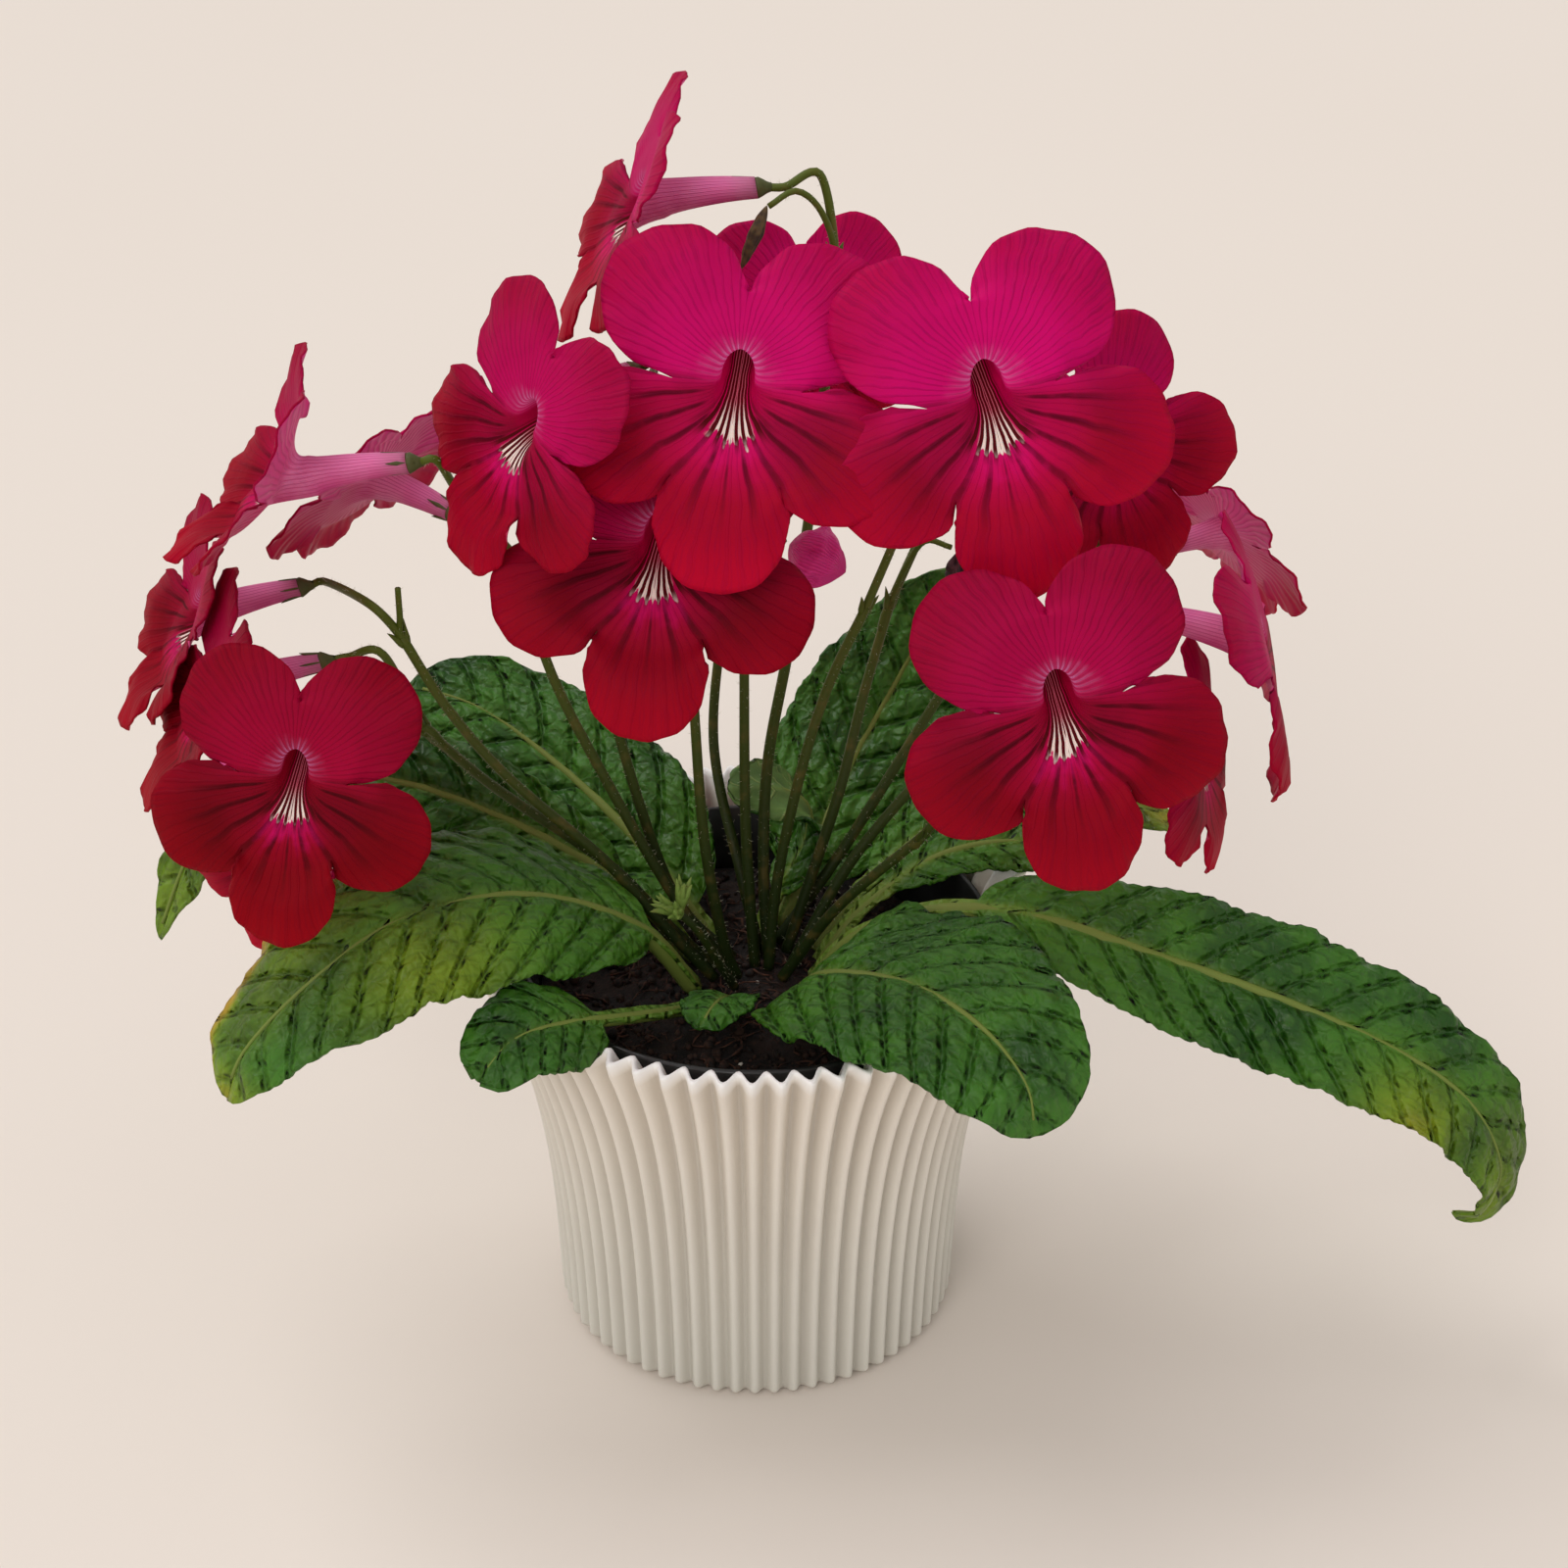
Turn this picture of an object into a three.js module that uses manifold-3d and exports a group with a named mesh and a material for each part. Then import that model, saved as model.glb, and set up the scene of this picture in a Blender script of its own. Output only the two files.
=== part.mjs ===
// Potted streptocarpus: fluted cover pot, thin nursery pot, potting mix, leaves, flower stalks,
// corollas and buds. Millimetres, Z up. Origin: centre of the cover pot's underside.
import * as THREE from "three";
import { mergeVertices } from "three/addons/utils/BufferGeometryUtils.js";
import Module from "manifold-3d";

const wasm = await Module();
wasm.setup();
const { Manifold, Mesh: SolidMesh } = wasm;

// driving dimensions of the pots and the soil
const fluteCount = 64;
const columnsPerFlute = 4;
const potHeight = 100.7;
const potWall = 2.4;
const potFloor = 5;
const rimWave = 2.6;
const baseWave = 1.2;
const flutePhase = -0.749;
const nurseryTopRadius = 51;
const nurseryBottomRadius = 38;
const nurseryHeight = 91;
const nurseryWall = 0.9;
const soilTop = 83;
const gap = 0.3;

// driving dimensions of one full-size corolla (size 1)
const tubeLength = 34;
const tubeTilt = THREE.MathUtils.degToRad(38);
const tubeBend = 0.0035;
const petalThick = 0.9;
const lobes = [
  { axis: 0, reach: 28.5, across: 13.3, along: 13.5 },
  { axis: 60, reach: 25, across: 14, along: 13.5 },
  { axis: 138, reach: 22, across: 14.8, along: 14.8 },
  { axis: 222, reach: 22, across: 14.8, along: 14.8 },
  { axis: 300, reach: 25, across: 14, along: 13.5 },
];
const notches = [-33, 33, 96, 180, 264];

// place, facing (turn from the front, lift above level), roll and size of every corolla
const flowers = {
  top: { at: [-24, 20, 260], turn: -78, lift: 26, roll: 0, size: 0.8, low: 8, high: 10 },
  centre_upper: { at: [-3, -25, 240], turn: -2, lift: 30, roll: 6, size: 0.96 },
  right_upper: { at: [46, -28, 239], turn: 4, lift: 28, roll: -10, size: 0.97 },
  left_upper: { at: [-45, -24, 232], turn: -50, lift: 20, roll: 14, size: 0.8 },
  centre_lower: { at: [-19, -30, 208], turn: -4, lift: 36, roll: 3, size: 0.93 },
  right_lower: { at: [59, -62, 190], turn: 4, lift: 26, roll: -8, size: 0.9 },
  left_lower: { at: [-91, -56, 170], turn: -6, lift: 22, roll: 4, size: 0.8 },
  far_left_high: { at: [-95, -8, 212], turn: -92, lift: 22, roll: 0, size: 0.78, low: 45, high: 20 },
  far_left_mid: { at: [-120, 12, 170], turn: -80, lift: 20, roll: 0, size: 0.72, low: 22, high: 10 },
  far_left_low: { at: [-112, -18, 168], turn: -80, lift: 20, roll: 0, size: 0.72, low: 22, high: 5 },
  back_left: { at: [-80, 25, 194], turn: -120, lift: 50, roll: 0, size: 0.72, low: 10, high: 10 },
  back_centre: { at: [12, 32, 227], turn: 10, lift: 20, roll: 0, size: 0.72 },
  back_right: { at: [75, 28, 201], turn: 15, lift: 20, roll: -22, size: 0.78 },
  far_right_high: { at: [107, 43, 172], turn: 105, lift: 32, roll: 0, size: 0.64, low: 6, high: 6 },
  far_right_mid: { at: [109, -5, 170], turn: 86, lift: 16, roll: 0, size: 0.86, low: -6, high: -4 },
  far_right_low: { at: [95, -12, 150], turn: 72, lift: 16, roll: 0, size: 0.7, low: -6, high: 0 },
  under_left: { at: [-101, -12, 125], turn: -25, lift: 5, roll: 8, size: 0.66 },
};

// leaves: midrib from the crown outward, bare stalk share, half width, tilt of the blade at
// start, middle and end, fullness of the outline and how far the edges hang
const leaves = {
  front_left: {
    path: [[-12, -6, 86], [-22, -12, 104], [-38, -20, 118], [-55, -31, 127], [-75, -43, 128],
      [-92, -52, 119], [-105, -58, 107], [-110, -60, 96]],
    stalk: 0.16, half: 19, tilt: [25, 25, 10], full: 0.6, hang: 0.25,
  },
  right_long: {
    path: [[12, -3, 86], [22, -4, 98], [40, -7, 107], [62, -9, 106], [88, -12, 98],
      [113, -16, 90], [139, -20, 79], [157, -24, 67], [166, -26, 50], [163, -27, 37], [156, -27, 36]],
    stalk: 0.22, half: 17, tilt: [-20, -36, -30], full: 0.6, hang: 0.1,
  },
  front_right: {
    path: [[7, -10, 86], [15, -25, 103], [32, -42, 112], [46, -59, 113], [55, -70, 106],
      [57, -75, 96]],
    stalk: 0.08, half: 21, tilt: [-14, -14, -14], full: 0.5, hang: 0.2,
  },
  back_left: {
    path: [[-9, 11, 86], [-18, 18, 97], [-29, 29, 105], [-45, 44, 113], [-63, 56, 121],
      [-80, 62, 124]],
    stalk: 0.1, half: 20, tilt: [35, 30, 20], full: 0.5, hang: 0.1,
  },
  left_long: {
    path: [[-13, 5, 86], [-26, 10, 99], [-50, 16, 113], [-78, 20, 123], [-103, 18, 125],
      [-123, 13, 113], [-134, 8, 90]],
    stalk: 0.15, half: 13, tilt: [40, 35, 10], full: 0.6, hang: 0.1,
  },
  back_right: {
    path: [[6, 17, 86], [14, 31, 98], [22, 47, 110], [31, 58, 122], [40, 65, 137], [45, 67, 150]],
    stalk: 0.12, half: 19, tilt: [-30, -22, -15], full: 0.55, hang: 0.05,
  },
  middle: {
    path: [[0, 15, 86], [6, 20, 96], [11, 25, 104], [11, 26, 112], [4, 22, 119], [-6, 17, 122]],
    stalk: 0.2, half: 9, tilt: [0, 0, 0], full: 0.6, hang: 0.1,
  },
  spoon: {
    path: [[-8, -11, 86], [-17, -23, 92], [-29, -37, 100], [-41, -49, 107], [-50, -58, 109],
      [-57, -65, 104]],
    stalk: 0.45, half: 9.5, tilt: [0, 0, 0], full: 0.5, hang: 0.15,
  },
  tiny: {
    path: [[-3, -13, 86], [-6, -21, 94], [-9, -30, 98], [-12, -37, 97]],
    stalk: 0.2, half: 6.5, tilt: [0, 0, 0], full: 0.5, hang: 0.1,
  },
  right_back: {
    path: [[13, 8, 86], [27, 20, 98], [49, 35, 108], [71, 43, 107], [88, 45, 101], [100, 44, 94]],
    stalk: 0.2, half: 11, tilt: [-20, -20, -20], full: 0.6, hang: 0.1,
  },
  right_droop: {
    path: [[14, 3, 86], [24, 8, 97], [42, 15, 107], [62, 18, 108], [77, 20, 98], [83, 20, 84]],
    stalk: 0.25, half: 8, tilt: [-25, -15, 0], full: 0.6, hang: 0.1,
  },
};

// stalks: the common stalk from the crown, then one branch per corolla leaving it at a share
const stalks = {
  left_high: {
    path: [[-6, 2, 85], [-18, 3, 104], [-32, 4, 133], [-43, 4, 160], [-49, 2, 188]],
    ends: { far_left_high: [[-59, 1, 202]], back_left: [[-50, 9, 184]] },
  },
  left_upper: {
    path: [[-5, 6, 85], [-18, 9, 100], [-29, 11, 139], [-36, 13, 178]],
    ends: { left_upper: [[-34, 14, 205], [-22, 14, 222]] },
  },
  centre_lower: {
    path: [[-4, -1.5, 85], [-7, -2, 95], [-11, -1, 122], [-13, 1, 160]],
    ends: { centre_lower: [[-15, 2, 198]] },
  },
  centre_upper: {
    path: [[0, 3, 85], [-1, 5, 100], [-2, 8, 123], [-2, 12, 160]],
    ends: { centre_upper: [[-2, 16, 205]] },
  },
  back_centre: {
    path: [[1, 9, 85], [-3, 14, 102], [-9, 30, 127], [-6, 40, 160]],
    ends: { back_centre: [[6, 56, 205]] },
  },
  top: {
    path: [[3, 5.5, 85], [2, 10, 105], [3, 16, 130], [8, 19, 160], [14, 19, 207], [17, 21, 248]],
    ends: { top: [[14, 24, 264]] },
  },
  right_upper: {
    path: [[3, 1.8, 85], [5, 4, 107], [10, 6, 133], [16, 8, 154], [24, 9, 173]],
    ends: { right_upper: [[36, 10, 208]] },
  },
  back_right: {
    path: [[7, 8.5, 85], [13, 12, 104], [19, 15, 124], [24, 21, 144], [30, 29, 163]],
    ends: { back_right: [[45, 46, 188]] },
  },
  right_lower: {
    path: [[6, -2, 85], [18, -7, 107], [36, -14, 130]],
    ends: { right_lower: [[52, -24, 165]] },
  },
  right_mid: {
    path: [[8, 3, 85], [22, 7, 111], [41, 9, 136], [54, 7, 152]],
    ends: { far_right_mid: [[66, 3, 173]], far_right_low: [[62, 1, 154]] },
  },
  right_high: {
    path: [[5, 12.5, 85], [20, 17, 107], [37, 22, 136], [52, 26, 162]],
    ends: { far_right_high: [[66, 28, 178]] },
  },
  left_mid: {
    path: [[-9, -2, 85], [-19, -2.5, 98], [-32, -4, 117], [-52, -8, 141], [-64, -8, 158], [-73, -7, 175]],
    ends: { far_left_mid: [[-79, -6, 182]] },
  },
  left_low: {
    path: [[-9, 2, 85], [-19, 2.5, 96], [-32, 3, 112], [-56, 0, 134], [-70, -5, 152]],
    ends: { far_left_low: [[-76, -16, 176]], left_lower: [[-79, -11, 160]], under_left: [[-79, 4, 143]] },
  },
};

// buds and the spent flower: drawn from their calyx end to their tip, on a curved foot that
// leaves the named stalk
const buds = {
  bud_pink: {
    stalk: "centre_upper", foot: [[2, 5, 184], [4, -1, 195], [6.5, -4.5, 195.5]],
    ends: [[7.5, -5, 195.2], [19, -8.5, 190.5]], radius: 5, colour: "bud",
  },
  bud_hanging: {
    stalk: "top", foot: [[14, 20, 258], [9, 18, 263], [3.5, 16, 260.5]],
    ends: [[2.8, 15.7, 259.4], [-1.5, 13.5, 250]], radius: 2.4, colour: "stalk",
  },
  spent_flower: {
    stalk: "back_right", foot: [[33, 28, 172], [37, 26, 179.5], [42.5, 23, 179.5]],
    ends: [[43.4, 22.6, 178.2], [47, 20.5, 164]], radius: 3, colour: "wilted",
  },
};
const youngCluster = {
  path: [[-4.5, -5.5, 85], [-8, -12, 96], [-12, -16.5, 107], [-16, -18, 113]],
  tips: [[-20, -19, 116], [-17, -22, 116], [-15, -17, 120], [-19.5, -15, 113]], radius: 1.7,
};
const spentFoot = { stalk: "left_mid", path: [[-73, -7.5, 180], [-73, -8, 187]] };

const colours = {
  pot: 0xe9e5de, nursery: 0x141414, mix: 0x2a1a12, leaf: 0x2f5a2c, stalk: 0x56682f,
  petal: 0xa0094e, bud: 0xc23f86, wilted: 0x3d2220,
};
const group = new THREE.Group();

function addPart(name, geometry, colour, roughness) {
  const material = new THREE.MeshStandardMaterial({ color: colour, roughness, metalness: 0 });
  material.name = `${name}_finish`;
  const mesh = new THREE.Mesh(geometry, material);
  mesh.name = name;
  group.add(mesh);
}

function vec(p) {
  return new THREE.Vector3(p[0], p[1], p[2]);
}

// closed shell from a list of rings of points; the first and last ring are capped
function loft(rings) {
  const count = rings[0].length;
  const points = [];
  rings.forEach((ring) => ring.forEach((p) => points.push(p.x, p.y, p.z)));
  const faces = [];
  for (let i = 0; i < rings.length - 1; i += 1) {
    for (let j = 0; j < count; j += 1) {
      const k = (j + 1) % count;
      const a = i * count + j;
      const b = i * count + k;
      faces.push(a, b, b + count, a, b + count, a + count);
    }
  }
  [0, rings.length - 1].forEach((i) => {
    const middle = new THREE.Vector3();
    rings[i].forEach((p) => middle.addScaledVector(p, 1 / count));
    const c = points.length / 3;
    points.push(middle.x, middle.y, middle.z);
    for (let j = 0; j < count; j += 1) {
      const k = (j + 1) % count;
      if (i === 0) faces.push(c, i * count + k, i * count + j);
      else faces.push(c, i * count + j, i * count + k);
    }
  });
  return faceOut(points, faces);
}

function faceOut(points, faces) {
  let volume = 0;
  const p = (i) => new THREE.Vector3(points[3 * i], points[3 * i + 1], points[3 * i + 2]);
  for (let i = 0; i < faces.length; i += 3) {
    volume += p(faces[i]).dot(p(faces[i + 1]).cross(p(faces[i + 2])));
  }
  if (volume < 0) {
    for (let i = 0; i < faces.length; i += 3) {
      [faces[i + 1], faces[i + 2]] = [faces[i + 2], faces[i + 1]];
    }
  }
  const geometry = new THREE.BufferGeometry();
  geometry.setAttribute("position", new THREE.Float32BufferAttribute(points, 3));
  geometry.setIndex(faces);
  return geometry;
}

function toSolid(geometry) {
  const g = geometry.clone();
  g.deleteAttribute("normal");
  g.deleteAttribute("uv");
  const merged = mergeVertices(g, 1e-4);
  return new Manifold(new SolidMesh({
    numProp: 3,
    vertProperties: new Float32Array(merged.attributes.position.array),
    triVerts: new Uint32Array(merged.index.array),
  }));
}

function toGeometry(solid) {
  const m = solid.getMesh();
  const geometry = new THREE.BufferGeometry();
  geometry.setAttribute("position", new THREE.Float32BufferAttribute(m.vertProperties, 3));
  geometry.setIndex(Array.from(m.triVerts));
  return geometry;
}

// ---- cover pot: corrugated wall flaring from the base to the rim
function potRadius(z) {
  const k = z / potHeight;
  return 44.2 + 3.2 * k + 14.7 * Math.pow(k, 3.2);
}
function potRing(z, offset, waveShare) {
  const count = fluteCount * columnsPerFlute;
  const wave = baseWave + (rimWave - baseWave) * Math.pow(z / potHeight, 2);
  const ring = [];
  for (let j = 0; j < count; j += 1) {
    const a = (j / count) * 2 * Math.PI;
    const r = potRadius(z) + offset + waveShare * wave * Math.cos(fluteCount * (a - flutePhase / fluteCount));
    ring.push(new THREE.Vector3(r * Math.sin(a), -r * Math.cos(a), z));
  }
  return ring;
}
{
  const out = potWall / 2;
  const rings = [potRing(0, -1.2, 0.3), potRing(1.6, out, 1)];
  [45, 72, 90].forEach((z) => rings.push(potRing(z, out, 1)));
  rings.push(potRing(potHeight - 0.6, out - 0.2, 1));
  rings.push(potRing(potHeight, 0, 1));
  rings.push(potRing(potHeight - 0.6, 0.2 - out, 1));
  [86, 60].forEach((z) => rings.push(potRing(z, -out, 1)));
  rings.push(potRing(potFloor, -out, 1));
  addPart("cover_pot", loft(rings), colours.pot, 0.6);
}

// ---- nursery pot: thin tapered pot standing on the cover pot's floor
{
  const z0 = potFloor + gap;
  const z1 = z0 + nurseryHeight;
  const t = nurseryWall;
  const slope = (nurseryTopRadius - nurseryBottomRadius) / nurseryHeight;
  const at = (z) => nurseryBottomRadius + slope * (z - z0);
  const profile = [
    [0, z0], [nurseryBottomRadius, z0], [at(z1 - 6), z1 - 6], [at(z1) + 1.6, z1 - 5.4],
    [at(z1) + 1.8, z1], [at(z1) + 0.4, z1], [at(z1 - 6) - t, z1 - 6],
    [nurseryBottomRadius - t, z0 + t], [0, z0 + t],
  ].map((p) => new THREE.Vector2(p[0], p[1]));
  const lathe = new THREE.LatheGeometry(profile, 48).rotateX(Math.PI / 2);
  addPart("nursery_pot", toGeometry(toSolid(lathe)), colours.nursery, 0.45);

  // ---- potting mix fills the nursery pot and mounds a little at the crown
  const clear = (z) => at(z) - t - gap;
  const mix = [
    [0, z0 + t + gap], [clear(z0 + t + gap), z0 + t + gap], [clear(soilTop - 2), soilTop - 2],
    [clear(soilTop) - 3, soilTop - 0.9], [26, soilTop - 0.2], [12, soilTop + 0.6], [0, soilTop + 1],
  ].map((p) => new THREE.Vector2(p[0], p[1]));
  const soil = new THREE.LatheGeometry(mix, 48).rotateX(Math.PI / 2);
  addPart("potting_mix", toGeometry(toSolid(soil)), colours.mix, 0.95);
}

// ---- leaves
function leafSolid(leaf) {
  const curve = new THREE.CatmullRomCurve3(leaf.path.map(vec), false, "centripetal");
  const stations = 15;
  const rings = [];
  let side = null;
  for (let i = 0; i <= stations; i += 1) {
    const s = i / stations;
    const p = curve.getPointAt(s);
    const along = curve.getTangentAt(s);
    if (side === null) side = along.clone().cross(new THREE.Vector3(0, 0, 1));
    side.addScaledVector(along, -side.dot(along)).normalize();
    const up = side.clone().cross(along);
    const k = s < 0.5 ? leaf.tilt[0] + (leaf.tilt[1] - leaf.tilt[0]) * 2 * s
      : leaf.tilt[1] + (leaf.tilt[2] - leaf.tilt[1]) * (2 * s - 1);
    const tilt = THREE.MathUtils.degToRad(k);
    const u = side.clone().multiplyScalar(Math.cos(tilt)).addScaledVector(up, Math.sin(tilt));
    const n = up.clone().multiplyScalar(Math.cos(tilt)).addScaledVector(side, -Math.sin(tilt));
    const t = Math.max(0, (s - leaf.stalk) / (1 - leaf.stalk));
    const blade = leaf.half * Math.pow(Math.sin(Math.PI * Math.pow(Math.min(t, 0.985), 0.85)), leaf.full);
    const w = Math.max(1.9 - 1.2 * t, blade);
    const thick = 1.3 - 0.45 * Math.min(1, 3 * t);
    const hang = leaf.hang * Math.min(1, blade / leaf.half);
    const ring = [];
    [-1, -0.55, 0, 0.55, 1].forEach((a) => {
      ring.push(p.clone().addScaledVector(u, a * w)
        .addScaledVector(n, thick * (1 - 0.55 * a * a) - hang * w * a * a));
    });
    [1, 0.55, 0, -0.55, -1].forEach((a) => {
      ring.push(p.clone().addScaledVector(u, a * w)
        .addScaledVector(n, -thick * (1 - 0.55 * a * a) - hang * w * a * a));
    });
    rings.push(ring);
  }
  return loft(rings);
}
Object.entries(leaves).forEach(([name, leaf]) => {
  addPart(`leaf_${name}`, leafSolid(leaf), colours.leaf, 0.7);
});

// ---- corollas
function flowerFrame(f) {
  const turn = THREE.MathUtils.degToRad(f.turn);
  const lift = THREE.MathUtils.degToRad(f.lift);
  const roll = THREE.MathUtils.degToRad(f.roll);
  const facing = new THREE.Vector3(
    Math.sin(turn) * Math.cos(lift), -Math.cos(turn) * Math.cos(lift), Math.sin(lift));
  const level = new THREE.Vector3(Math.cos(turn), Math.sin(turn), 0);
  const above = facing.clone().cross(level);
  const right = level.clone().multiplyScalar(Math.cos(roll)).addScaledVector(above, -Math.sin(roll));
  const up = above.clone().multiplyScalar(Math.cos(roll)).addScaledVector(level, Math.sin(roll));
  return { right, up, facing, at: vec(f.at), size: f.size };
}
function toWorld(frame, x, y, z) {
  return frame.at.clone().addScaledVector(frame.right, x * frame.size)
    .addScaledVector(frame.up, y * frame.size).addScaledVector(frame.facing, z * frame.size);
}
function tubeCentre(t) {
  return [0, Math.sin(tubeTilt) * t - tubeBend * t * t, -Math.cos(tubeTilt) * t];
}
function limbReach(theta) {
  let best = 0;
  lobes.forEach((lobe) => {
    const d = theta - THREE.MathUtils.degToRad(lobe.axis);
    const c = Math.cos(d);
    const s = Math.sin(d);
    const A = (c * c) / (lobe.along ** 2) + (s * s) / (lobe.across ** 2);
    const B = (-2 * c * lobe.reach) / (lobe.along ** 2);
    const C = (lobe.reach / lobe.along) ** 2 - 1;
    const q = B * B - 4 * A * C;
    if (q > 0) best = Math.max(best, (-B + Math.sqrt(q)) / (2 * A));
  });
  return best;
}
const limbAngles = [];
notches.forEach((from, i) => {
  const to = i < 4 ? notches[i + 1] : notches[0] + 360;
  for (let j = 0; j < 5; j += 1) limbAngles.push(THREE.MathUtils.degToRad(from + ((to - from) * j) / 5));
});
function corolla(f) {
  const frame = flowerFrame(f);
  const low = THREE.MathUtils.degToRad(f.low ?? 0);
  const high = THREE.MathUtils.degToRad(f.high ?? 0);
  const ringOnTube = (t, radius) => limbAngles.map((theta) => {
    const c = tubeCentre(t);
    const y = -Math.cos(theta) * radius;
    return toWorld(frame, Math.sin(theta) * radius, c[1] + y * Math.cos(tubeTilt),
      c[2] + y * Math.sin(tubeTilt));
  });
  const ringOnLimb = (share, drop, level) => limbAngles.map((theta) => {
    const mouth = 7.5;
    const reach = limbReach(theta) - drop;
    const r = (reach - mouth) * share;
    const bend = low + ((high - low) * (1 - Math.cos(theta))) / 2;
    const radial = mouth + r * Math.cos(bend) - level * Math.sin(bend);
    const out = r * Math.sin(bend) + level * Math.cos(bend) - 0.004 * Math.max(0, r - 4) ** 2;
    return toWorld(frame, Math.sin(theta) * radial, -Math.cos(theta) * radial, out);
  });
  const rings = [
    ringOnTube(tubeLength, 2.4), ringOnTube(20, 3.1), ringOnTube(7, 5.4), ringOnLimb(0.12, 0, -petalThick),
    ringOnLimb(1, 0.4, -petalThick), ringOnLimb(1, 0, 0), ringOnLimb(0, 0, 0),
    ringOnTube(7, 4.6), ringOnTube(tubeLength - 2, 1.5),
  ];
  return loft(rings);
}
Object.entries(flowers).forEach(([name, f]) => {
  addPart(`corolla_${name}`, corolla(f), colours.petal, 0.6);
});

// ---- stalks: six-sided rods swept along curves, each ending in a calyx behind its corolla
const stalkRadius = 1.15;
function rod(points, radius) {
  const curve = new THREE.CatmullRomCurve3(points.map(vec), false, "centripetal");
  const shape = new THREE.Shape();
  for (let i = 0; i < 6; i += 1) {
    const a = (i * Math.PI) / 3;
    if (i === 0) shape.moveTo(radius, 0);
    else shape.lineTo(radius * Math.cos(a), radius * Math.sin(a));
  }
  shape.closePath();
  const steps = Math.max(4, Math.round(curve.getLength() / 11));
  return toSolid(new THREE.ExtrudeGeometry(shape, { steps, bevelEnabled: false, extrudePath: curve }));
}
function calyxOf(f) {
  const frame = flowerFrame(f);
  const a = tubeCentre(tubeLength);
  const end = toWorld(frame, a[0], a[1], a[2]);
  const back = toWorld(frame, 0, Math.sin(tubeTilt), -Math.cos(tubeTilt)).sub(frame.at).normalize();
  const length = 4.5;
  const middle = end.clone().addScaledVector(back, gap + length / 2);
  const cone = new THREE.CylinderGeometry(2.5, 1, length, 8);
  cone.applyQuaternion(new THREE.Quaternion().setFromUnitVectors(
    new THREE.Vector3(0, 1, 0), back.clone().negate()));
  cone.translate(middle.x, middle.y, middle.z);
  return { solid: toSolid(cone), end: end.clone().addScaledVector(back, gap + length - 1.2), back };
}
function joinAll(solids) {
  return solids.reduce((a, b) => a.add(b));
}
// a pointed egg between two points
function egg(from, to, radius, sides) {
  const a = vec(from);
  const b = vec(to);
  const length = a.distanceTo(b);
  const profile = [[0, 0], [0.45, 0.06], [0.95, 0.35], [0.85, 0.65], [0.4, 0.93], [0, 1]]
    .map((p) => new THREE.Vector2(p[0] * radius, p[1] * length));
  const body = new THREE.LatheGeometry(profile, sides);
  body.applyQuaternion(new THREE.Quaternion().setFromUnitVectors(
    new THREE.Vector3(0, 1, 0), b.clone().sub(a).normalize()));
  body.translate(a.x, a.y, a.z);
  return toSolid(body);
}
Object.entries(stalks).forEach(([name, stalk]) => {
  const pieces = [rod(stalk.path, stalkRadius)];
  const last = stalk.path[stalk.path.length - 1];
  Object.entries(stalk.ends).forEach(([flower, via]) => {
    const calyx = calyxOf(flowers[flower]);
    const lead = calyx.end.clone().addScaledVector(calyx.back, 2);
    const before = stalk.path[stalk.path.length - 2];
    const start = vec(last).lerp(vec(before), 0.03);
    pieces.push(calyx.solid);
    pieces.push(rod([start.toArray(), ...via, lead.toArray(), calyx.end.toArray()], stalkRadius * 0.9));
  });
  const foot = vec(last).lerp(vec(stalk.path[stalk.path.length - 2]), 0.03).toArray();
  Object.values(buds).filter((bud) => bud.stalk === name).forEach((bud) => {
    pieces.push(rod([foot, ...bud.foot], 0.8));
  });
  if (spentFoot.stalk === name) pieces.push(rod([foot, ...spentFoot.path], 0.9));
  addPart(`stalk_${name}`, toGeometry(joinAll(pieces)), colours.stalk, 0.6);
});
Object.entries(buds).forEach(([name, bud]) => {
  addPart(name, toGeometry(egg(bud.ends[0], bud.ends[1], bud.radius, 12)), colours[bud.colour], 0.7);
});
{
  const pieces = [rod(youngCluster.path, 0.9)];
  const end = youngCluster.path[youngCluster.path.length - 1];
  youngCluster.tips.forEach((tip) => pieces.push(egg(end, tip, youngCluster.radius, 8)));
  addPart("stalk_young_buds", toGeometry(joinAll(pieces)), colours.stalk, 0.6);
}

export default group;
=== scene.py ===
import math
import random

import bmesh
import bpy
from mathutils import Matrix, Vector, noise


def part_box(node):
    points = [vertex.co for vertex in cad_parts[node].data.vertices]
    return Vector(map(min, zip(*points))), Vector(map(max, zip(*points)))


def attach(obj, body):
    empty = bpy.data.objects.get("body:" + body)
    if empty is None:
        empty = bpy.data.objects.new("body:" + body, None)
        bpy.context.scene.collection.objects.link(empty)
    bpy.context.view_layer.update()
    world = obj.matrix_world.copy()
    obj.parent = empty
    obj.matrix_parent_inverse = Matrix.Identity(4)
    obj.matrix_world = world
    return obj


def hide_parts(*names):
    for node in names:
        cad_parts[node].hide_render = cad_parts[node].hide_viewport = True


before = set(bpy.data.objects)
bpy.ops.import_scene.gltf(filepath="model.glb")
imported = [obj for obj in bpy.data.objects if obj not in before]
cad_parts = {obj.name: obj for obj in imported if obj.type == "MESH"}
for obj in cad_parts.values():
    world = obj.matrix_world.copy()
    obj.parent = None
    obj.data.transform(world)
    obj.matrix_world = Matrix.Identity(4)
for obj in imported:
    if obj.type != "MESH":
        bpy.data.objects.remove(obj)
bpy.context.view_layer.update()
mm = 0.001
leafThickness = 0.75 * mm
petalThickness = 0.5 * mm
leafLayers = ("veinTurn", "rib", "fade", "fresh", "across")
petalLayers = ("reach", "side", "upper", "tint")


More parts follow.
